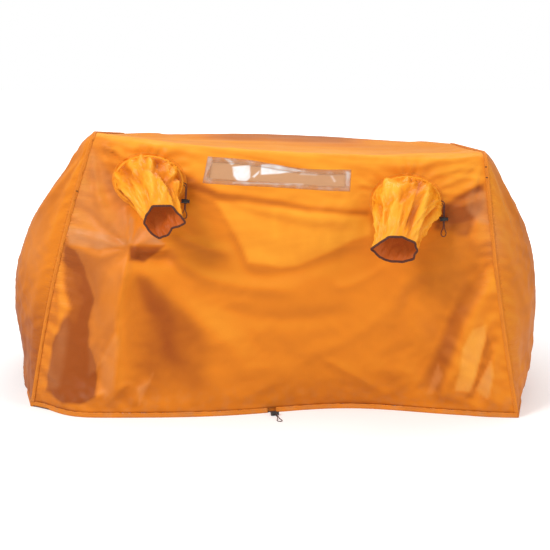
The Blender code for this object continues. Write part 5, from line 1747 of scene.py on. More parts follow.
def slope_light(a, b, relief, full=0.16):
    """How far the relief's slopes face up and to the left, from -1 to 1, over a grid, for painting light and
    shade on them.
    """
    step_a, step_b = np.gradient(a, axis=0), np.gradient(b, axis=1)
    step_a = np.where(np.abs(step_a) < 1e-5, 1e-5, step_a)
    step_b = np.where(np.abs(step_b) < 1e-5, 1e-5, step_b)
    facing = -0.45 * np.gradient(relief, axis=0) / step_a + 0.9 * -np.gradient(relief, axis=1) / step_b
    return softened(np.tanh(facing / full))


def softened(field, passes=2):
    """A grid's values, each shared a little with its neighbours."""
    for _ in range(passes):
        for axis in (0, 1):
            wide = np.concatenate([field.take([0], axis), field, field.take([-1], axis)], axis)
            before = wide.take(range(0, field.shape[axis]), axis)
            after = wide.take(range(2, field.shape[axis] + 2), axis)
            field = 0.25 * before + 0.5 * field + 0.25 * after
    return field


def crumpled(x, y, turn, seed, along=1.0, across=1.0):
    """Small soft wrinkles that run at a turn in degrees, from -0.5 to 0.5."""
    a, b = turned_by(x, y, turn)
    push = 0.05 * noise(a * 6.0, b * 6.0, seed + 1)
    long = creased((a + push) * 6.0 * along, (b - push) * 24.0 * across, seed, 2) - 0.6
    short = creased((a - push) * 19.0 * along, (b + push) * 34.0 * across, seed + 2, 1) - 0.6
    where = smooth(-0.35, 0.35, noise(a * 5.0, b * 7.0, seed + 3))
    return 0.6 * long * where + 0.4 * short * (1.1 - where)


def gathered(turn, folds, seed):
    """Uneven folds round a ring, from -1 to 1."""
    wander = turn + 0.09 * np.sin(3 * turn + seed) + 0.05 * np.sin(7 * turn + 2 * seed)
    uneven = 0.65 + 0.35 * np.sin(5 * turn + 1.7 * seed)
    return uneven * np.sin(folds * wander + seed)


def from_corner(a, b, folds, seed, reach=0.28):
    """Folds that run out from a corner where the cloth hangs, from -1 to 1."""
    out, turn = np.hypot(a, b), np.arctan2(b, a)
    bend = turn + 0.10 * noise(a * 5.0, b * 5.0, seed)
    return smooth(0.01, 0.07, out) * np.exp(-out / reach) * gathered(bend, folds, seed)


class SHELTER_OT_main_panel(bpy.types.Operator):
    """The one sheet that makes the front, the roof and the back"""

    bl_idname = "shelter.main_panel"
    bl_label = "Front, roof and back"

    def execute(self, context):
        u_line = lines_to_cut((0.0, 60), (WINDOW_START, 56), (WINDOW_END, 60), (1.0, 0))
        row_line = lines_to_cut(
            *((0.0, 112), (WINDOW_BOTTOM, 9), (WINDOW_TOP, 9), (1.0, 7), (1.06, 36), (1.94, 7)),
            *((2.0, 7), (2.06, 54), (3.0, 0)),
        )
        u, row = np.meshgrid(u_line, row_line, indexing="ij")
        plain = cloth_point(u, row)
        normals = grid_normals(plain, cloth_frame(u, row)[1])
        edge = np.minimum(u, 1 - u) * STRIP_WIDTH
        calm = smooth(0.0, 0.045, edge)
        relief = self.front(plain, u, row, edge) + self.roof_and_back(plain, u, row, edge)
        points = plain + normals * (relief * calm * cloth_settings().fold_depth)[..., None]
        points += self.slack(plain, u_line, row_line, calm, u, row)
        points[..., 1] = mix(plain[..., 1], points[..., 1], smooth(0.0, 0.012, np.minimum(row, 3 - row)))
        points[..., 2] = np.maximum(points[..., 2], LOWEST_CLOTH_Z)
        points = self.snapped(points, u, row)
        SKINS["main"] = Skin(points, grid_normals(points, normals), u_line, row_line)
        made = cloth_piece(
            "front_roof_back_cloth",
            points,
            orange_cloth(),
            cloth_settings().thickness,
            keep=self.kept(u_line, row_line),
            **self.fields(plain, u, row, edge, relief),
        )
        fitted(made, "shelter", "main_panel")
        across = length_of(points[:, len(row_line) // 4])
        up = length_of(points[len(u_line) // 2])
        return {"FINISHED"}

    def front(self, plain, u, row, edge):
        x, z = plain[..., 0], plain[..., 2]
        relief = folded(x, z, FRONT_FOLDS) * (0.35 + 0.65 * away_from_openings(u, np.clip(row, 0.0, 1.0)))
        relief += 0.0025 * noise(x * 5.2, z * 4.4, 3.0)
        far_left, far_right = smooth(-0.36, -0.46, x), smooth(0.40, 0.55, x)
        for depth, turn, along, across, seed, octaves, where in (
            (0.0042, 32, 5.0, 11.0, 7.0, 3, smooth(-0.1, 0.35, noise(x * 3.1, z * 3.1, 5.0))),
            (0.0060, -38, 9.0, 17.0, 11.0, 3, smooth(-0.30, -0.45, x) * smooth(0.45, 0.15, z)),
            (0.0045, -38, 10.0, 24.0, 13.0, 2, smooth(0.42, 0.56, x) * smooth(0.5, 0.1, z)),
            (0.0032, -4, 4.0, 30.0, 17.0, 2, smooth(0.62, 0.70, z)),
            (0.0040, 0, 17.0, 15.0, 23.0, 3, 0.25 + 0.75 * far_left + 0.5 * far_right),
        ):
            relief += depth * creases(x, z, turn, along, across, seed, octaves) * where
        middle = 1 - far_left - smooth(0.44, 0.55, x)
        for turn, seed, where in (
            (-10, 211.0, smooth(0.50, 0.62, z)),
            (24, 221.0, 0.6 * smooth(0.58, 0.40, z) * smooth(0.15, -0.15, x)),
            (-30, 231.0, 0.5 * smooth(0.60, 0.42, z) * smooth(-0.10, 0.20, x)),
        ):
            relief += 0.0038 * crumpled(x, z, turn, seed) * where * middle
        for side, (out, turn) in round_vents(x, z).items():
            ring = smooth(1.0, 1.16, out) * np.exp(-np.clip(out - 1.16, 0.0, None) / 0.42)
            relief += 0.0062 * ring * (0.55 + 0.45 * np.sin(turn)) * gathered(turn, *VENT_GATHERS[side])
            under = (turn < 0) * np.abs(np.sin(turn))
            relief -= 0.010 * smooth(1.9, 1.0, out) * smooth(1.0, 1.1, out) * under
        relief += self.puckers(edge, u, z, 0.0095)
        relief += 0.0075 * from_corner(x - LEFT_PEAK_X, z - LEFT_CORNER_Z, 17, 2.0)
        relief += 0.0080 * from_corner(x - RIGHT_PEAK_X, z - RIGHT_CORNER_Z, 19, 3.0)
        relief += 0.0040 * np.exp(-z / 0.05) * noise(x * 34.0, z * 6.0, 21.0)
        star_x, star_z = x - STAR_X, z - STAR_Z
        radius, turn = np.hypot(star_x, star_z), np.arctan2(star_z, star_x)
        relief += 0.0065 * smooth(0.002, 0.02, radius) * np.exp(-radius / 0.055) * gathered(turn, 11, 2.0)
        here = (1 - smooth(0.95, 1.02, row)) * self.window_calm(u, row)
        return relief * here * smooth(0.0, 0.012, np.clip(z - PANEL_FOOT_Z, 0.0, None))

    def puckers(self, edge, u, z, depth):
        """Short gathers square to both end seams."""
        left = (u < 0.5) * smooth(0.10, 0.25, z) * smooth(0.80, 0.60, z)
        right = (u > 0.5) * (0.25 + 1.05 * bump(z - 0.52, 0.075))
        near = smooth(0.0, 0.008, edge) * np.exp(-edge / 0.045)
        slant = z + 0.35 * edge
        waves = noise(slant * 38.0, edge * 6.0, 31.0) + 0.5 * noise(slant * 80.0, edge * 9.0, 33.0)
        return depth * near * (left + right) * waves

    def window_calm(self, u, row):
        """Near 0 on the cloth under the window's tape, 1 away from it."""
        out_u = np.maximum(WINDOW_START - LAP_U - u, u - WINDOW_END - LAP_U)
        out_w = np.maximum(WINDOW_BOTTOM - LAP_W - row, row - WINDOW_TOP - LAP_W)
        away = np.hypot(np.maximum(0.0, out_u) * RIDGE_LENGTH, np.maximum(0.0, out_w) * WALL_HEIGHT)
        return 0.06 + 0.94 * smooth(0.0, 0.018, away)

    def roof_and_back(self, plain, u, row, edge):
        x, y, z = plain[..., 0], plain[..., 1], plain[..., 2]
        corners = np.minimum(np.hypot(x + 0.53, y + 0.36), np.hypot(x - 0.62, y + 0.36))
        relief = 0.0065 * creases(x, y, 8, 3.2, 9.0, 41.0) + 0.0055 * crumpled(x, y, 8, 241.0, 0.7, 0.8)
        relief += 0.004 * np.exp(-corners / 0.16) * np.sin(9 * np.arctan2(y + 0.36, np.abs(x)) + 20 * x)
        relief *= smooth(1.0, 1.08, row) * (1 - smooth(1.92, 2.0, row))
        down = x + 0.16 * (z - 0.4) * np.sign(x + 0.05)
        back = 0.0120 * (creased(down * 5.5, z * 1.6, 47.0, 3) - 0.6)
        for at_x, seed in ((LEFT_PEAK_X, 4.0), (RIGHT_PEAK_X, 7.0)):
            back += 0.0120 * from_corner(x - at_x, z - BACK_CORNER_Z, 17, seed, 0.34)
            back += 0.0090 * from_corner(x - 1.25 * at_x, z + 0.02, 15, seed + 1, 0.26)
        patches = smooth(-0.2, 0.4, noise(x * 2.6, z * 2.6, 57.0))
        back += 0.0085 * creases(x, z, 40, 3.5, 9.5, 53.0) * patches
        back += 0.0045 * creases(x, z, 0, 13.0, 12.0, 59.0)
        back += 0.0055 * crumpled(x, z, 62, 251.0, 0.8, 0.7)
        back += 0.0040 * np.exp(-z / 0.06) * noise(x * 30.0, z * 6.0, 61.0)
        behind = smooth(2.0, 2.08, row)
        relief = (relief + behind * back) * smooth(0.025, 0.09, self.from_poles(plain, row))
        return relief * smooth(0.0, 0.06, 3 - row) + self.puckers(edge, u, z, 0.0030) * behind

    def slack(self, plain, u_line, row_line, calm, u, row):
        """Creases that the cloth settles into, laid over the given folds."""
        columns, rows = COARSE_MAIN_GRID
        cu, cr = np.meshgrid(np.linspace(0.0, 1.0, columns), np.linspace(0.0, 3.0, rows), indexing="ij")
        start = cloth_point(cu, cr)
        x, z = start[..., 0], start[..., 2]
        held = (cu < 0.001) | (cu > 0.999) | (cr < 0.001) | (cr > 2.999)
        order = np.arange(cu.size).reshape(cu.shape)
        held |= ((np.abs(cr - 1) < 0.016) | (np.abs(cr - 2) < 0.016)) & (order % 3 == 0)
        for out, _ in round_vents(x, z).values():
            held |= (out < 1.08) & (cr < 1)
        held |= (cr > WINDOW_BOTTOM) & (cr < WINDOW_TOP) & (cu > WINDOW_START) & (cu < WINDOW_END)
        held |= (np.hypot(x - STAR_PIN_X, z - STAR_PIN_Z) < 0.018) & (cr < 1)
        held |= self.from_poles(start, cr) < 0.03
        moved = slack_over(start, held, 0.020, u_line, row_line / 3.0)
        share = np.where(row < 1, 0.18, np.where(row < 2, 0.45, 0.60))
        share = share * calm * smooth(0.025, 0.10, self.from_poles(plain, row))
        return moved * (share * self.window_calm(u, row) * smooth(0.0, 0.05, row))[..., None]

    def from_poles(self, points, row):
        """How far the roof's points are from the nearest pole's pocket."""
        near = np.full(np.shape(row), FAR)
        for name in POCKETS:
            low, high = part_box("pole_pocket_" + name)
            middle = (low + high) / 2
            near = np.minimum(near, np.hypot(points[..., 0] - middle.x, points[..., 1] - middle.y))
        return np.where((row > 0.97) & (row < 2.03), near, FAR)

    def snapped(self, points, u, row):
        """Draws the grid's corners nearest each vent's edge onto it."""
        x, z = wall_x(u, row), wall_z(u, np.clip(row, 0.0, 1.0), "front")
        for side, (out, _) in round_vents(x, z).items():
            close = (np.abs(out - 1) < 0.045) & (row < 1)
            scale = (1 / np.maximum(out, 0.5) - 1)[..., None]
            spread = points + (points - cloth_point(*VENTS[side])) * scale
            points = np.where(close[..., None], spread, points)
        return points

    def kept(self, u_line, row_line):
        """Faces that stay: the window and the vents are left open."""
        u = (u_line[:-1] + u_line[1:])[:, None] / 2
        row = (row_line[:-1] + row_line[1:])[None] / 2
        u, row = np.broadcast_arrays(u, row)
        keep = ~((u > WINDOW_START) & (u < WINDOW_END) & (row > WINDOW_BOTTOM) & (row < WINDOW_TOP))
        w = np.clip(row, 0.0, 1.0)
        for out, _ in round_vents(wall_x(u, w), wall_z(u, w, "front")).values():
            keep &= ~((out < 0.985) & (row < 1))
        return keep

    def fields(self, plain, u, row, edge, relief):
        """The cloth's painted light and shade for the light through it, with random tone; its painted
        highlight; and its gathers, where it is drawn up.
        """
        x, y, z = plain[..., 0], plain[..., 1], plain[..., 2]
        front = 1 - smooth(0.97, 1.03, row)
        roof = smooth(0.97, 1.03, row) * (1 - smooth(1.97, 2.03, row))
        back = smooth(1.97, 2.03, row)
        wander = 0.006 * noise(x * 9.0, z * 9.0, 81.0)
        lighter, paler = facets(x + wander, z - wander, FRONT_FACETS)
        # A painted shadow along the wall's foot, just above the hem
        foot = np.exp(-(z - PANEL_FOOT_Z) / 0.008)
        tone = lighter - 0.5 * foot + 0.10 * noise(x * 4.0, z * 3.0, 83.0) - 0.04
        # Painted shade in fine streaks below the roof's edge and in creases lower down
        a, b = turned_by(x, row * WALL_HEIGHT, -6)
        streaks = 0.26 * noise(a * 2.2, b * 44.0, 91.0) + 0.20 * noise(a * 4.0, b * 72.0, 92.0)
        tone += smooth(0.58, 0.70, z) * streaks
        tone += smooth(0.42, 0.50, z) * smooth(0.68, 0.60, z) * 0.20 * creases(x, z, 8, 3.0, 26.0, 93.0, 2)
        tone *= front
        # Painted light on the roof, lighter toward its front edge, with random tone, and a darker, paler
        # patch near the back that is painted shade with a painted highlight; the back painted lighter high
        # up
        a, b = turned_by(x, y, 5)
        over = 0.55 + 0.30 * noise(a * 1.6, b * 14.0, 71.0) + 0.15 * noise(x * 3.0, y * 3.0, 72.0)
        over += 0.35 * smooth(0.05, -0.20, y) - 0.25 * smooth(0.15, 0.40, y)
        roof_shade_and_highlight = roof * smooth(0.20, 0.36, y) * smooth(-0.30, -0.12, x) * smooth(0.36, 0.20, x)
        tone += roof * over - 0.95 * roof_shade_and_highlight
        tone += back * (-0.04 + 0.22 * smooth(0.55, 0.74, z) + 0.28 * noise(x * 3.0, z * 3.0, 73.0))
        # Painted light on raised folds and painted shade in sunken ones, and from how the folds' slopes face
        tone += np.clip(relief / 0.030, -0.5, 0.5) * 0.25
        glow = cloth_settings().glow * (1 + 0.8 * np.exp(-edge / 0.05)) * smooth(0.0, 0.012, edge)
        tone += glow * slope_light(x, np.maximum(row * WALL_HEIGHT, 0.0), relief)
        # Pale painted highlight on the facets, near the seams and on the back
        streak = front * (0.55 + 0.65 * creased(x * 14.0, z * 10.0, 75.0, 2))
        bloom = paler * streak + 0.14 * np.exp(-edge / 0.05) * (u < 0.5) * front
        bloom += 0.40 * streak * (u > 0.5) * bump(z - 0.54, 0.06) * np.exp(-edge / 0.035)
        bloom += back * 0.25 * smooth(0.1, 0.6, noise(x * 4.0, z * 4.0, 77.0)) + 0.3 * roof_shade_and_highlight
        gathers = np.exp(-edge / 0.030) * (0.25 + 0.75 * (front * (u < 0.5) + bump(z - 0.52, 0.10)))
        gathers += np.exp(-z / 0.02) * 0.2
        return {"tone": tone, "bloom": np.clip(bloom, 0.0, 0.85), "gathers": np.clip(gathers, 0.0, 1.0)}


# Ends
def end_hem(side, t):
    """The end's foot from its front corner (t 0) to its back one (1)."""
    u = END_U[side]
    foot_x = (LEFT_FOOT_X - END_HEM_OUT, RIGHT_FOOT_X + END_HEM_OUT)[u]
    t = np.asarray(t, float)
    point = mix(plain_front(float(u), 0.0), plain_back(float(u), 0.0), t[..., None])
    share = np.minimum(1.0, np.minimum(t / END_CORNER, (1 - t) / END_CORNER))
    point[..., 0] = mix(point[..., 0], foot_x, share)
    return point


def end_point(side, t, w):
    """The end's bulging surface: t from the front seam to the back one, w up from the hem."""
    u = float(END_U[side])
    roof = RIDGE_RADIUS / ROOF_DEPTH
    top_row = np.interp(t, [0.0, 0.25, 0.5, 0.75, 1.0], [1.0, 1 + roof, 1.5, 2 - roof, 2.0])
    share_t, share_w = t[..., None], w[..., None]
    across = mix(cloth_point(u, w), cloth_point(u, 3 - w), share_t)
    along = mix(end_hem(side, t), cloth_point(u, top_row), share_w)
    hem = mix(end_hem(side, 0.0), end_hem(side, 1.0), share_t)
    head = mix(cloth_point(u, 1.0), cloth_point(u, 2.0), share_t)
    point = across + along - mix(hem, head, share_w)
    at = END_BULGE_FOOT / (END_BULGE_FOOT + END_BULGE_HEAD)
    peak = at**END_BULGE_FOOT * (1 - at) ** END_BULGE_HEAD
    swell = w**END_BULGE_FOOT * (1 - w) ** END_BULGE_HEAD / peak
    point[..., 0] += SIGN[side] * END_BULGE * swell * np.clip(np.sin(np.pi * t), 0.0, 1.0) ** END_BULGE_ROUND
    return point


class SHELTER_OT_end_panels(bpy.types.Operator):
    """The two bulging ends"""

    bl_idname = "shelter.end_panels"
    bl_label = "Ends"

    def execute(self, context):
        for side, seed in (("left", 101.0), ("right", 131.0)):
            self.end(side, seed)
        return {"FINISHED"}

    def end(self, side, seed):
        t_line, w_line = (np.linspace(0.0, 1.0, count) for count in END_GRID)
        t, w = np.meshgrid(t_line, w_line, indexing="ij")
        plain = end_point(side, t, w)
        normals = grid_normals(plain, np.array([SIGN[side], 0.0, 0.0]))
        edge = np.minimum(np.minimum(t, 1 - t) * 0.95, (1 - w) * 0.8)
        calm = smooth(0.0, 0.07, edge) * smooth(0.0, 0.03, w)
        relief = self.relief(plain, w, edge, calm, seed)
        points = plain + normals * (relief * cloth_settings().fold_depth)[..., None]
        coarse = np.meshgrid(*(np.linspace(0, 1, count) for count in COARSE_END_GRID), indexing="ij")
        held = (np.minimum(*coarse) < 0.001) | (np.maximum(*coarse) > 0.999)
        moved = slack_over(end_point(side, *coarse), held, 0.022, t_line, w_line)
        points += moved * (0.5 * calm * smooth(0.02, 0.14, edge))[..., None]
        points[..., 2] = np.maximum(points[..., 2], LOWEST_CLOTH_Z)
        SKINS[side] = Skin(points, grid_normals(points, normals), t_line, w_line)
        name, thickness = side + "_end_cloth", cloth_settings().thickness
        fields = self.fields(side, plain, t, edge, relief, seed)
        made = cloth_piece(name, points, orange_cloth(), thickness, **fields)
        fitted(made, "shelter", side + "_end_panel")
        across, up = length_of(points[:, 50]), length_of(points[65])

    def relief(self, plain, w, edge, calm, seed):
        y, z = plain[..., 1], plain[..., 2]
        down = y + 0.25 * (y - MIDDLE_Y) * (0.5 - z)
        relief = 0.0080 * (creased(down * 5.0, z * 1.7, seed, 3) - 0.6)
        patches = smooth(-0.2, 0.4, noise(y * 3, z * 3, seed + 5))
        relief += 0.0055 * creases(y, z, 48, 3.6, 10.0, seed + 3) * patches
        patches = smooth(-0.1, 0.5, noise(y * 3, z * 3, seed + 9))
        relief += 0.0050 * creases(y, z, -42, 3.6, 11.0, seed + 7) * patches
        relief += 0.0040 * creases(y, z, 0, 13.0, 12.0, seed + 17)
        relief += 0.0055 * crumpled(y, z, 55, seed + 31, 0.8, 0.7)
        for at_y, at_z, folds in END_FOLDS_FROM:
            fan = from_corner(y - at_y, z - at_z, folds, seed + at_y)
            relief += 0.0075 * fan * smooth(0.02, 0.14, edge)
        near = smooth(0.0, 0.010, edge) * np.exp(-edge / 0.035) * smooth(0.0, 0.1, w)
        puckers = noise((z + 0.4 * edge) * 44.0, edge * 6.0, seed + 11)
        puckers += 0.5 * noise(z * 92.0, edge * 9.0, seed + 13)
        hem = np.exp(-z / 0.05) * noise(y * 30.0, z * 5.0, seed + 15) * smooth(0.0, 0.02, w)
        return relief * calm + 0.0040 * near * puckers + 0.0040 * hem

    def fields(self, side, plain, t, edge, relief, seed):
        """The end's painted light and shade with random tone, its painted highlight and its gathers,
        stronger toward the front.
        """
        y, z = plain[..., 1], plain[..., 2]
        left = side == "left"
        forward = smooth(0.75, 0.35, t)
        # Random tone, painted lighter high up, and painted shade over the left end low down and toward the
        # front
        tone = (0.12 + 0.12 * forward) * noise(y * 2.6, z * 2.6, seed + 21)
        tone = tone + 0.20 * smooth(0.45, 0.8, z) - 0.16
        if left:
            tone -= 0.12 + (0.12 + 0.48 * forward) * smooth(0.50, 0.15, z)
        # Painted lighter next to the front seam, and painted light and shade on the folds
        tone += (0.14 if left else 0.22) * smooth(0.20, 0.06, t) + np.clip(relief / 0.02, -0.5, 0.5) * 0.2
        glow = cloth_settings().glow * (0.6 + 0.4 * forward) * smooth(0.0, 0.02, edge)
        tone += glow * slope_light(y, z, relief)
        # Pale painted highlight in patches and along the seams, and a band on the right end
        bloom = 0.08 + 0.40 * smooth(0.0, 0.7, noise(y * 3.2, z * 3.2, seed + 23))
        bloom = bloom + 0.10 * np.exp(-edge / 0.06)
        bloom *= smooth(0.02, 0.16, t) * (0.5 + 0.5 * smooth(0.1, 0.45, z))
        if not left:
            bloom += 0.45 * bump(z - 0.54, 0.07) * np.exp(-t / 0.05)
        bloom *= 0.6 + 0.6 * creased(y * 12.0, z * 9.0, seed + 25, 2)
        return {"tone": tone, "bloom": np.clip(bloom, 0.0, 0.7), "gathers": np.exp(-edge / 0.03) * 0.9}


# Seams
class SHELTER_OT_seams(bpy.types.Operator):
    """The two felled seams between the ends and the rest"""

    bl_idname = "shelter.seams"
    bl_label = "End seams"

    def execute(self, context):
        for side, seed in (("left", 9.0), ("right", 5.0)):
            u = float(END_U[side])
            rows = np.linspace(0.001, 2.999, SEAM_POINTS)
            line = cloth_point(u, rows)
            inwards = cloth_point(abs(u - 0.02), rows) - line
            along = unit(np.gradient(line, axis=0))
            across = unit(inwards - along * (inwards * along).sum(-1, keepdims=True))
            out = unit(np.cross(across, along)) * -SIGN[side]
            k = np.arange(len(SEAM_PROFILE))
            sway = 1 + 0.16 * noise(travelled(line)[:, None] * 85.0, k[None] * 0.5, seed)
            profile = np.array(SEAM_PROFILE) * MM
            seam = loft(side + "_felled_seam", line, across, out, profile, seam_tape(), sway)
            fitted(seam, "shelter", side + "_end_seam")
            lines = [(line + across * off * MM + out * 1.45 * MM, out) for off in SEAM_STITCHES_IN]
            w = np.linspace(0.02, 0.985, 300)
            for t in (END_STITCH_T, 1 - END_STITCH_T):
                lines.append(SKINS[side].at(np.full(w.shape, t), w, 0.0001))
            sewn(side + "_seam_stitches", lines)
        self.tacks()
        return {"FINISHED"}

    def tacks(self):
        """Bar tacks across the seam tape where the roof's load comes down."""
        runs = []
        for side, row in TACKS:
            u = float(END_U[side])
            at = cloth_point(u, row)
            inwards = unit(cloth_point(abs(u - 0.02), row) - at)
            up = unit(cloth_point(u, row + 0.004) - cloth_point(u, row - 0.004))
            out = unit(np.cross(inwards, up)) * -SIGN[side]
            for k in range(TACK_STITCHES):
                rise = 1.1 if k % 2 else -1.1
                a = at + (inwards * (2.5 + TACK_PITCH * k) + out * 1.9 - up * rise) * MM
                b = at + (inwards * (2.8 + TACK_PITCH * k) + out * 1.9 + up * rise) * MM
                runs.append([a - out * 0.5 * MM, a, b, b - out * 0.5 * MM])
        made = from_curve("seam_bar_tacks", runs, 0.35 * MM, brown_binding())
        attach(made, "shelter")


# Window
def cloth_offset(u, row, off):
    """Points off the cloth, outwards."""
    return cloth_point(u, row) + cloth_frame(u, row)[1] * np.asarray(off)[..., None]


def from_edges(u, row, left, right, bottom, top):
    """Metres inwards from the nearest side of a rectangle on the front wall."""
    in_u = np.minimum(u - left, right - u) * RIDGE_LENGTH
    in_w = np.minimum(row - bottom, top - row) * WALL_HEIGHT
    return np.minimum(in_u, in_w)


class SHELTER_OT_window(bpy.types.Operator):
    """The film window and the tape that holds it"""

    bl_idname = "shelter.window"
    bl_label = "Window"

    def execute(self, context):
        left, right, bottom, top = TAPE_SIDES
        u, row = np.meshgrid(np.linspace(left, right, 121), np.linspace(bottom, top, 31), indexing="ij")
        plain = cloth_point(u, row)
        x, z = plain[..., 0], plain[..., 2]
        edge = from_edges(u, row, WINDOW_START, WINDOW_END, WINDOW_BOTTOM, WINDOW_TOP)
        inside = smooth(-0.002, 0.014, edge)
        waves = 0.9 * noise(x * 18.0, z * 26.0, 3.0) + 0.5 * creases(x, z, 0, 26.0, 30.0, 5.0, 2)
        points = cloth_offset(u, row, (-1.15 + waves * inside * 1.5 - 1.4 * inside) * MM)
        # Painted glare on the film
        haze_and_glare = facets(x, z, WINDOW_GLARE)[1] * (0.75 + 0.4 * creased(x * 34.0, z * 40.0, 9.0, 2))
        film = film_finish("clear_window_film", 0.80, 0.25)
        pane = cloth_piece("window_film", points, film, 0.5 * MM, bloom=np.clip(haze_and_glare, 0.0, 1.0))
        fitted(pane, "shelter", "window_pane")
        self.tape()
        return {"FINISHED"}

    def tape(self):
        left, right, bottom, top = TAPE_SIDES
        frame_u, frame_w = LAP_U + FRAME_U, LAP_W + FRAME_W
        u_line = lines_to_cut((left, 8), (left + frame_u, 110), (right - frame_u, 8), (right, 0))
        row_line = lines_to_cut((bottom, 8), (bottom + frame_w, 14), (top - frame_w, 8), (top, 0))
        u, row = np.meshgrid(u_line, row_line, indexing="ij")
        plain = cloth_point(u, row)
        x, z = plain[..., 0], plain[..., 2]
        edge = from_edges(u, row, *TAPE_SIDES)
        lift = 0.9 + 0.5 * noise(x * 70.0, z * 70.0, 4.0) * smooth(0.0, 0.003, edge)
        points = cloth_offset(u, row, (lift + 0.5 * bump(edge - 0.0075, 0.003)) * MM)
        keep = np.ones((len(u_line) - 1, len(row_line) - 1), bool)
        keep[8:-8, 8:-8] = False
        # Partly random haze, partly painted glare
        haze_and_glare = 0.05 + 0.30 * noise(x * 40.0, z * 40.0, 6.0) + 0.7 * facets(x, z, WINDOW_GLARE)[1]
        film = film_finish("window_edging_film", 0.34, 0.30)
        tape = cloth_piece("window_edging", points, film, 0.6 * MM, keep=keep, bloom=np.clip(haze_and_glare, 0.0, 1.0))
        fitted(tape, "shelter", "window_binding")
        lines = []
        for inset in WINDOW_STITCHES_IN:
            du, dw = inset / RIDGE_LENGTH, inset / WALL_HEIGHT
            low_u, high_u, low_w, high_w = left + du, right - du, bottom + dw, top - dw
            corners = [(low_u, low_w), (high_u, low_w), (high_u, high_w), (low_u, high_w), (low_u, low_w)]
            for a, b in zip(corners, corners[1:]):
                share = np.linspace(0.0, 1.0, 60)
                at = mix(a[0], b[0], share), mix(a[1], b[1], share)
                lines.append((cloth_offset(*at, 1.15 * MM), cloth_frame(*at)[1]))
        sewn("window_stitches", lines, pitch=CLOSE_STITCHES)


# Hem
class SHELTER_OT_hem(bpy.types.Operator):
    """The rolled hem that carries the draw cord"""

    bl_idname = "shelter.hem"
    bl_label = "Hem casings"

    def execute(self, context):
        share = np.linspace(0.0, 1.0, HEM_POINTS)
        front = plain_front(share, 0.0)
        outlet = np.array(outlet_frame().translation)
        from_outlet = front[:, 0] - outlet[0]
        runs = {
            "front_left": front[from_outlet < -OUTLET_HALF_GAP],
            "front_right": front[from_outlet > OUTLET_HALF_GAP],
            "right": end_hem("right", share),
            "back": plain_back(share[::-1], 0.0),
            "left": end_hem("left", share[::-1]),
        }
        for seed, (name, line) in enumerate(runs.items()):
            line[:, 2] = 0.0
            self.casing(name, *evenly(line, 0.0045), 11.0 * seed)
        self.behind_outlet(outlet)
        return {"FINISHED"}

    def behind_outlet(self, outlet):
        """The wall's own cloth, carried down behind the place where the cord comes out."""
        x = np.linspace(-0.017, 0.017, 25)[:, None] + outlet[0]
        back, z = np.array(OUTLET_CLOTH).T[:, None] * MM
        foot = plain_front(u_at(x, 0.0 * x), 0.0)
        wrinkle = 0.25 * MM * noise(x * 260.0, z * 80.0, 3.0)
        points = stack(x, foot[..., 1] + back + wrinkle, z)
        # Painted darker, as shade behind the outlet
        made = cloth_piece("hem_outlet_cloth", points, orange_cloth(), 0.4 * MM, 0.0, tone=-0.35)
        fitted(made, "shelter")

    def casing(self, name, line, far, seed):
        along = unit(np.gradient(line, axis=0))
        across = np.stack([along[:, 1], -along[:, 0], np.zeros(len(line))], axis=-1)
        up = np.broadcast_to((0.0, 0.0, 1.0), line.shape)
        k = np.arange(len(HEM_PROFILE))
        sway = 0.96 + 0.10 * noise(far[:, None] * 55.0, k[None] * 0.35, seed)
        sway += 0.10 * noise(far[:, None] * 140.0, k[None] * 0.2, seed + 3)
        profile = np.array(HEM_PROFILE) * MM
        hem = loft("hem_roll_" + name, line, across, up, profile, seam_tape(), np.minimum(sway, 1.03))
        fitted(hem, "shelter", "hem_casing_" + name)
        sides = (across, -across)
        lines = [(line + out * HEM_STITCH_OUT * MM + up * HEM_STITCH_UP * MM, out) for out in sides]
        sewn("hem_stitches_" + name, lines)


# Vents
def on_wall(points):
    """The front wall's own measures at these points."""
    x, z = points[..., 0], points[..., 2]
    w = np.full(np.shape(x), 0.8)
    for _ in range(5):
        u = u_at(x, w)
        w = (z - PANEL_FOOT_Z) / (ridge_height(u, "front") - PANEL_FOOT_Z)
    return u, w


def oval(turn):
    """Points and outward directions of the vent's ellipse."""
    cos, sin = np.cos(turn), np.sin(turn)
    edge = np.stack([VENT_HALF_WIDTH * cos, VENT_HALF_HEIGHT * sin, 0 * turn], axis=-1)
    out = unit(np.stack([VENT_HALF_HEIGHT * cos, VENT_HALF_WIDTH * sin, 0 * turn], axis=-1))
    return edge, out


def placed(matrix, points):
    turn = np.array(matrix.to_3x3())
    return points @ turn.T + np.array(matrix.translation)


def ring_profile(profile):
    """A closed outline in metres, its first point given again at its end."""
    return np.array([*profile, profile[0]]) * MM


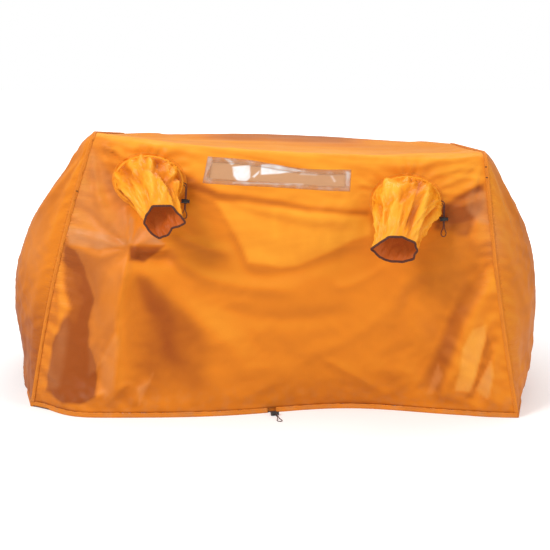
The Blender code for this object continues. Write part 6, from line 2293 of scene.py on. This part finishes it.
class SHELTER_OT_collars(bpy.types.Operator):
    """The gathered channels round both vents, and the tape under them"""

    bl_idname = "shelter.collars"
    bl_label = "Vent collars"

    def execute(self, context):
        for side, seed in (("left", 2.0), ("right", 6.0)):
            place = vent_frame(side)
            turn = np.linspace(0.0, 2 * np.pi, 241)
            profile = ring_profile(COLLAR_PROFILE)
            edge, out = oval(turn[:, None])
            gather = gathered(turn, 33, seed) * smooth(0.0, 0.3, turn) * smooth(0.0, 0.3, 2 * np.pi - turn)
            high = np.clip(profile[:, 1] / 0.014, 0.0, 1.0)
            off = profile[None, :, 0] + 1.3 * MM * gather[:, None] * high[None]
            points = edge + out * off[..., None]
            points[..., 2] = profile[None, :, 1] + 0.9 * MM * np.roll(gather, 3)[:, None] * high[None]
            points[-1] = points[0]
            name = side + "_vent_channel"
            # Painted lighter, as lit
            fields = {"tone": 0.4, "gathers": 0.3}
            collar = cloth_piece(name, placed(place, points), sleeve_cloth(), ring=True, **fields)
            closed_up(collar.data)
            fitted(collar, "shelter", side + "_vent_collar")
            self.facing(side, place, seed)
        return {"FINISHED"}

    def facing(self, side, place, seed):
        """A ring of tape on the wall, sewn down on both its edges."""
        turn = np.linspace(0.0, 2 * np.pi, 181)[:, None]
        off = np.linspace(0.4, 10.0, 7)[None] * MM
        edge, out = oval(turn + 0 * off)
        points, normals = SKINS["main"].at(*on_wall(placed(place, edge + out * off[..., None])))
        points += normals * (0.7 + 0.35 * noise(turn * 14.0, off * 300.0, seed))[..., None] * MM
        points[-1] = points[0]
        name = side + "_vent_facing"
        # Painted lighter, as lit
        fields = {"tone": 0.3, "gathers": 0.5}
        facing = cloth_piece(name, points, orange_cloth(), 0.6 * MM, 0.0, ring=True, **fields)
        fitted(facing, "shelter")
        edge, out = oval(np.linspace(0.0, 2 * np.pi, 240))
        lines = []
        for off in VENT_STITCHES_OUT:
            lines.append(SKINS["main"].at(*on_wall(placed(place, edge + out * off * MM)), 1.1 * MM))
        sewn(side + "_vent_stitches", lines, pitch=CLOSE_STITCHES)


def mouth_outline(side, turn):
    """The mouth's uneven outline: metres across and shares of its half height."""
    knots = np.array(MOUTH_OUTLINES[side], float)
    at = np.arctan2(knots[:, 1], knots[:, 0] * MM / MOUTHS[side]["half_width"])
    across, up = (np.interp(turn, at, axis, period=2 * np.pi) for axis in knots.T)
    return across * MM, up


def sleeve_surface(side, share, turn):
    """The sleeve from its collar (share 0) to its mouth (1), in the vent's frame."""
    mouth = MOUTHS[side]
    tilt = math.radians(mouth["tilt"])
    centre = np.array([mouth["lean"], -mouth["drop"], MOUTH_OUT])
    lip = np.array([0.0, math.cos(tilt), math.sin(tilt)]) * MOUTH_HALF_HEIGHT
    rise = VENT_HALF_HEIGHT - COLLAR_WALL / 2
    high, low = np.array([0.0, rise, COLLAR_OUT + GAP]), np.array([0.0, -rise, COLLAR_OUT + GAP])
    top = rounded(high, high + np.array([0.0, 0.0, SLEEVE_TOP_OUT]), centre + lip, share)
    under = rounded(low, low + np.array([0.0, 0.0, SLEEVE_UNDER_OUT]), centre - lip, share)
    width = mix(VENT_HALF_WIDTH - COLLAR_WALL / 2, mouth["half_width"], share**SLEEVE_NARROWING)
    out_x, out_y = mouth_outline(side, turn)
    cast = smooth(0.30, 1.0, share)
    height = mix(np.sin(turn), out_y, cast)
    point = (top + under) / 2 + (top - under) / 2 * height[..., None]
    point[..., 0] += mix(width * np.cos(turn), out_x, cast)
    return point


class SHELTER_OT_sleeves(bpy.types.Operator):
    """The two sleeves that hang from the vents, bound round their mouths"""

    bl_idname = "shelter.sleeves"
    bl_label = "Vent sleeves"

    def execute(self, context):
        for side, seed in (("left", 3.0), ("right", 8.0)):
            self.sleeve(side, seed)
        return {"FINISHED"}

    def sleeve(self, side, seed):
        place = vent_frame(side)
        around, down = SLEEVE_GRID
        turns = np.linspace(0.0, 2 * np.pi, around)
        turn, share = np.meshgrid(turns, np.linspace(0.0, 1.0, down), indexing="ij")
        points = sleeve_surface(side, share, turn)
        normals = grid_normals(points, points - points[:-1].mean(axis=0, keepdims=True))
        ring_x, ring_y = np.cos(turn) * 1.6, np.sin(turn) * 1.6
        bent = creased(ring_x * 1.3 + share * 1.1, ring_y * 1.3 - share * 1.9, seed + 4, 3) - 0.6
        fine = creased(ring_x * 2.9 - share * 2.3, ring_y * 2.9 + share * 3.1, seed + 7, 2) - 0.6
        relief = self.relief(side, turn, share, bent, fine, seed)
        relief[-1] = relief[0]
        points += normals * relief[..., None]
        points[-1] = points[0]
        points = placed(place, points)
        made = cloth_piece(
            side + "_vent_sleeve_cloth",
            points,
            sleeve_cloth(),
            cloth_settings().thickness,
            ring=True,
            tone=self.tone(side, turn, share, relief),
            # Pale painted highlight on the sleeve's creases
            bloom=np.clip(0.25 * bent, 0.0, 0.3),
            gathers=0.3 * np.exp(-share / 0.30),
        )
        made.data.materials.append(sleeve_inside())
        made.modifiers["Cloth"].material_offset = 1
        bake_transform(made)
        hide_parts(side + "_vent_sleeve")
        width = length_of(points[:, 40])
        tall = float(np.mean([length_of(line) for line in points[::24]]))
        self.rim(side, place, points[:-1, -1])

    def relief(self, side, turn, share, bent, fine, seed):
        """Gathers at the collar, large soft dents, and creases between them."""
        far = smooth(0.55, 1.0, share)
        relief = 0.0050 * np.exp(-share / 0.30) * gathered(turn, 19, seed)
        relief += 0.0085 * (1 - 0.6 * far) * gathered(turn + 0.5 * share, 5, seed + 1)
        relief += 0.0045 * (1 - far) * gathered(turn - 0.6 * share, 9, seed + 5)
        relief += 0.0125 * bent * (1 - smooth(0.90, 1.0, share))
        relief += 0.0050 * fine * (1 - smooth(0.92, 1.0, share))
        if side == "right":
            relief -= 0.0045 * groove(turn) * (1 - smooth(0.82, 0.98, share))
        relief *= smooth(0.0, 0.05, share)
        relief += 0.0024 * far * gathered(turn, 13, seed + 2) * (1 - 0.5 * smooth(0.94, 1.0, share))
        for depth, along, lean, tall, at, wide in SLEEVE_DENTS[side]:
            relief += depth * bump(share - along - lean * np.cos(turn), tall) * bump(turn - at, wide)
        return relief

    def tone(self, side, turn, share, relief):
        # Painted light and shade: lighter on raised folds, darker in hollows, underneath and next to the
        # collar; the left sleeve darker on top near the collar, the right lighter on one side and darker
        # along its groove
        up = np.sin(turn)
        tone = 0.25 + np.clip(relief / 0.008, -1.0, 1.0) * 0.70 - 0.6 * smooth(0.2, -0.9, up)
        tone -= 0.5 * np.exp(-share / 0.05)
        if side == "left":
            return tone - 0.35 * smooth(0.7, 0.1, share) * smooth(-0.2, 0.4, up)
        tone += 0.45 * bump(turn - 2.3, 0.5) * smooth(0.1, 0.4, share)
        return tone - 0.55 * groove(turn) * smooth(0.0, 0.05, share) * (1 - smooth(0.85, 1.0, share))

    def rim(self, side, place, line):
        """Bias tape folded over the mouth's edge."""
        line = evenly(np.vstack([line, line[:1]]), 0.003)[0][:-1]
        tilt = math.radians(MOUTHS[side]["tilt"])
        ahead = np.array(place.to_3x3() @ Vector((0.0, -math.sin(tilt), math.cos(tilt))))
        along = unit(np.roll(line, -1, axis=0) - np.roll(line, 1, axis=0))
        away = unit(np.cross(along, ahead))
        if ((line - line.mean(0)) * away).sum() < 0:
            away = -away
        profile = ring_profile(RIM_PROFILE)
        ripple = 1 + 0.14 * noise(np.arange(len(line)) * 0.35, 0 * line[:, 0], 5.0)
        ripple[-8:] = mix(ripple[-8:], ripple[0], np.linspace(0.0, 1.0, 8))
        shape = (away[:, None] * profile[..., :1] + ahead * profile[..., 1:2]) * ripple[:, None, None]
        points = line[:, None] + shape
        points = np.concatenate([points, points[:1]])
        rim = cloth_piece(side + "_mouth_binding", points, brown_binding(), ring=True)
        closed_up(rim.data)
        fitted(rim, side + "_snorkel", side + "_vent_rim")
        lines = [(line + out * 2.65 * MM - ahead * 0.6 * MM, out) for out in (away, -away)]
        name, body = side + "_mouth_stitches", side + "_snorkel"
        sewn(name, lines, body=body, pitch=CLOSE_STITCHES, finish=brown_binding())


def groove(turn):
    """The flattened strip along the right sleeve."""
    return smooth(0.86, 0.92, turn) * (1 - smooth(1.18, 1.24, turn))


# Inside and on the ground
class SHELTER_OT_pockets(bpy.types.Operator):
    """Cloth cups under the roof that take the poles"""

    bl_idname = "shelter.pockets"
    bl_label = "Pole pockets"

    def execute(self, context):
        for name in POCKETS:
            low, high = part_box("pole_pocket_" + name)
            middle = (low + high) / 2
            deep = high.z - low.z
            bm = bmesh.new()
            profile = (*POCKET_OUTSIDE, (15.6, -deep / MM), *POCKET_INSIDE)
            spun(bm, [(radius * MM, height * MM) for radius, height in profile], 56)
            for vert in bm.verts:
                turn = math.atan2(vert.co.y, vert.co.x)
                share = -vert.co.z / deep
                wave = 1 + share * 0.030 * math.sin(7 * turn + 1.0) + share * 0.018 * math.sin(13 * turn)
                vert.co.x *= wave
                vert.co.y *= wave
            bmesh.ops.translate(bm, vec=(middle.x, middle.y, high.z), verts=bm.verts)
            mesh = mesh_from("pole_cup_" + name, bm)
            mesh.uv_layers.new(name="UVMap")
            wrapped_uv(mesh, middle)
            mesh.shade_smooth()
            cup = link("pole_cup_" + name, mesh, seam_tape())
            fitted(cup, "shelter", "pole_pocket_" + name)
            self.patch(name, middle)
        return {"FINISHED"}

    def patch(self, name, middle):
        """A doubled square of cloth under the roof, sewn down round its edge."""
        skin = SKINS["main"]
        u_mid, row_mid = u_at(middle.x, 1.0), 1 + (middle.y - FRONT_RIDGE_Y) / ROOF_DEPTH
        du, dv = PATCH_HALF / RIDGE_LENGTH, PATCH_HALF / ROOF_DEPTH
        across = np.linspace(-1.0, 1.0, 25)
        u, row = np.meshgrid(u_mid + across * du, row_mid + across * dv, indexing="ij")
        points, _ = skin.at(u, row, -0.9 * MM)
        # Painted a little darker, as shade under the roof
        patch = cloth_piece("pole_patch_" + name, points, orange_cloth(), 0.4 * MM, tone=-0.1)
        fitted(patch, "shelter")
        lines = []
        share = np.linspace(-0.92, 0.92, 30)
        for a, b in ((share, -0.92), (share, 0.92), (-0.92, share), (0.92, share)):
            a, b = np.broadcast_arrays(a, b)
            at, normal = skin.at(u_mid + a * du, row_mid + b * dv, -1.4 * MM)
            lines.append((at, -normal))
        sewn("pole_patch_stitches_" + name, lines, pitch=0.006)


def wrapped_uv(mesh, middle):
    """UVs in metres for a round piece: round it and up it."""
    for face in mesh.polygons:
        for loop in face.loop_indices:
            co = mesh.vertices[mesh.loops[loop].vertex_index].co
            turn = math.atan2(co.y - middle.y, co.x - middle.x)
            mesh.uv_layers[0].data[loop].uv = (turn * POCKET_RADIUS, co.z)


class SHELTER_OT_seats(bpy.types.Operator):
    """Hemmed sheets at both ends that are sat on"""

    bl_idname = "shelter.seats"
    bl_label = "Seats"

    def execute(self, context):
        for side, seed in (("left", 151.0), ("right", 161.0)):
            sign = -SIGN[side]
            low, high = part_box(side + "_seat_panel")
            near = low.x if sign > 0 else high.x
            middle, half, depth = (low.y + high.y) / 2, (high.y - low.y) / 2, high.x - low.x
            corner = SEAT_CORNER / depth
            round_corner = 1 - corner * (1 - np.sin(np.linspace(0.1, np.pi / 2, 12)))
            columns = np.concatenate([np.linspace(0.0, 1 - corner, 44), round_corner])
            a, b = np.meshgrid(columns, np.linspace(-1.0, 1.0, 84), indexing="ij")
            over = np.clip((a - 1) * depth / SEAT_CORNER + 1, 0.0, 1.0)
            x = near + sign * a * depth
            y = middle + b * (half - SEAT_CORNER * (1 - np.sqrt(np.clip(1 - over**2, 0.0, 1.0))))
            edge = np.minimum(np.minimum(a, 1 - a) * depth, (1 - np.abs(b)) * half)
            folds = creases(x, y, 0, 6.0, 9.0, seed) + 0.8 * creases(x, y, 35, 12.0, 5.0, seed + 3, 2)
            z = 0.0014 + np.clip(0.0035 * folds, -0.0003, 0.006) * smooth(0.0, 0.03, edge)
            z += 0.0006 * bump(edge - 0.006, 0.004)
            points = stack(x, y, z)[:, :: int(sign)]
            # Painted light on the seat's folds and painted shade in their hollows
            tone = np.clip(folds, -0.5, 0.5) * 0.6
            seat = cloth_piece(side + "_seat_cloth", points, seat_cloth(), 0.9 * MM, tone=tone)
            fitted(seat, side + "_seat", side + "_seat_panel")
            self.stitches(side, near, depth, middle, half)
        return {"FINISHED"}

    def stitches(self, side, near, depth, middle, half):
        """Along both sides and round the free corners."""
        bend = SEAT_CORNER - SEAT_STITCHES_IN
        turn = np.linspace(0.0, np.pi / 2, 12)
        x, y = depth - SEAT_CORNER + bend * np.sin(turn), half - SEAT_CORNER + bend * np.cos(turn)
        x = np.concatenate([[0.012], x, x[::-1], [0.012]])
        y = np.concatenate([[SEAT_STITCHES_IN - half], -y, y[::-1], [half - SEAT_STITCHES_IN]])
        line = stack(near - SIGN[side] * x, middle + y, SEAT_STITCH_Z)
        up = np.broadcast_to((0.0, 0.0, 1.0), line.shape)
        sewn(side + "_seat_stitches", [(line, up)], body=side + "_seat")


class SHELTER_OT_tab(bpy.types.Operator):
    """The webbing loop at the right end's hem"""

    bl_idname = "shelter.tab"
    bl_label = "Webbing tab"

    def execute(self, context):
        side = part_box("right_hem_tab")[0].x
        bend = side + TAB_LENGTH - 2 * TAB_TURN
        turn = np.linspace(-np.pi / 2, np.pi / 2, 15)[1:-1]
        run = np.linspace(side - 0.003, bend, 24)
        x = np.concatenate([run, bend + TAB_TURN * np.cos(turn), run[::-1]])
        z = np.concatenate([np.zeros(24), TAB_TURN * (1 + np.sin(turn)), np.full(24, 2 * TAB_TURN)])
        rise = np.clip((x - side) / TAB_LENGTH, 0.0, 1.0)
        z += TAB_THICKNESS / 2 + 0.8 * MM * np.sin(np.pi * rise) * (z > TAB_TURN)
        across = np.linspace(-0.5, 0.5, 13)[:, None]
        points = stack(x[None], TAB_Y + across * TAB_WIDTH, z[None])
        points[..., 2] -= 0.12 * MM * (np.abs(across) * 2) ** 6
        webbing = tape_finish("brown_webbing", colours().binding, rib=0.0014)
        tab = cloth_piece("webbing_loop", points, webbing, TAB_THICKNESS * 0.8, 0.0)
        fitted(tab, "shelter", "right_hem_tab")
        top = TAB_THICKNESS + 2 * TAB_TURN + 0.4 * MM
        line = np.array([(side + a * MM, TAB_Y + b * MM, top) for a, b in TAB_STITCHES])
        fine = np.vstack([np.linspace(a, b, 6, endpoint=False) for a, b in zip(line, line[1:])])
        up = np.broadcast_to((0.0, 0.0, 1.0), fine.shape)
        sewn("webbing_stitches", [(fine, up)], pitch=0.0022)
        return {"FINISHED"}


class SHELTER_OT_carried(bpy.types.Operator):
    """Finish of the cords inside the hem and the collars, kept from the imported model"""

    bl_idname = "shelter.carried"
    bl_label = "Hidden cords"

    def execute(self, context):
        for name in ("hem_drawcord", "left_vent_drawcord", "right_vent_drawcord"):
            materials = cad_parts[name].data.materials
            materials.clear()
            materials.append(cord_finish())
        return {"FINISHED"}


PANEL_ORDER = (
    *(SHELTER_OT_stage, SHELTER_OT_cords, SHELTER_OT_locks, SHELTER_OT_main_panel),
    *(SHELTER_OT_end_panels, SHELTER_OT_seams, SHELTER_OT_window, SHELTER_OT_hem),
    *(SHELTER_OT_collars, SHELTER_OT_sleeves, SHELTER_OT_pockets, SHELTER_OT_seats),
    *(SHELTER_OT_tab, SHELTER_OT_carried),
)


class SHELTER_PT_pieces(bpy.types.Panel):
    """Lists the shelter's pieces"""

    bl_idname = "SHELTER_PT_pieces"
    bl_label = "Group shelter"
    bl_space_type = "VIEW_3D"
    bl_region_type = "UI"
    bl_category = "Shelter"

    def draw(self, context):
        scene = context.scene
        for settings in (scene.shelter_view, scene.shelter_cloth, scene.shelter_colours):
            box = self.layout.box()
            for name in settings.bl_rna.properties.keys():
                if name not in ("rna_type", "name"):
                    box.prop(settings, name)
        for made in PANEL_ORDER:
            self.layout.operator(made.bl_idname)


SETTINGS = {"shelter_cloth": ShelterCloth, "shelter_colours": ShelterColours, "shelter_view": ShelterView}


def register():
    for made in (*SETTINGS.values(), *PANEL_ORDER, SHELTER_PT_pieces):
        bpy.utils.register_class(made)
    for name, made in SETTINGS.items():
        setattr(bpy.types.Scene, name, bpy.props.PointerProperty(type=made))


def unregister():
    for name in SETTINGS:
        delattr(bpy.types.Scene, name)
    for made in reversed((*SETTINGS.values(), *PANEL_ORDER, SHELTER_PT_pieces)):
        bpy.utils.unregister_class(made)


def main():
    register()
    for made in PANEL_ORDER:
        area, name = made.bl_idname.split(".")
        result = getattr(getattr(bpy.ops, area), name)()
        if result != {"FINISHED"}:
            raise RuntimeError(made.bl_idname + " didn't finish")


if __name__ == "__main__":
    main()
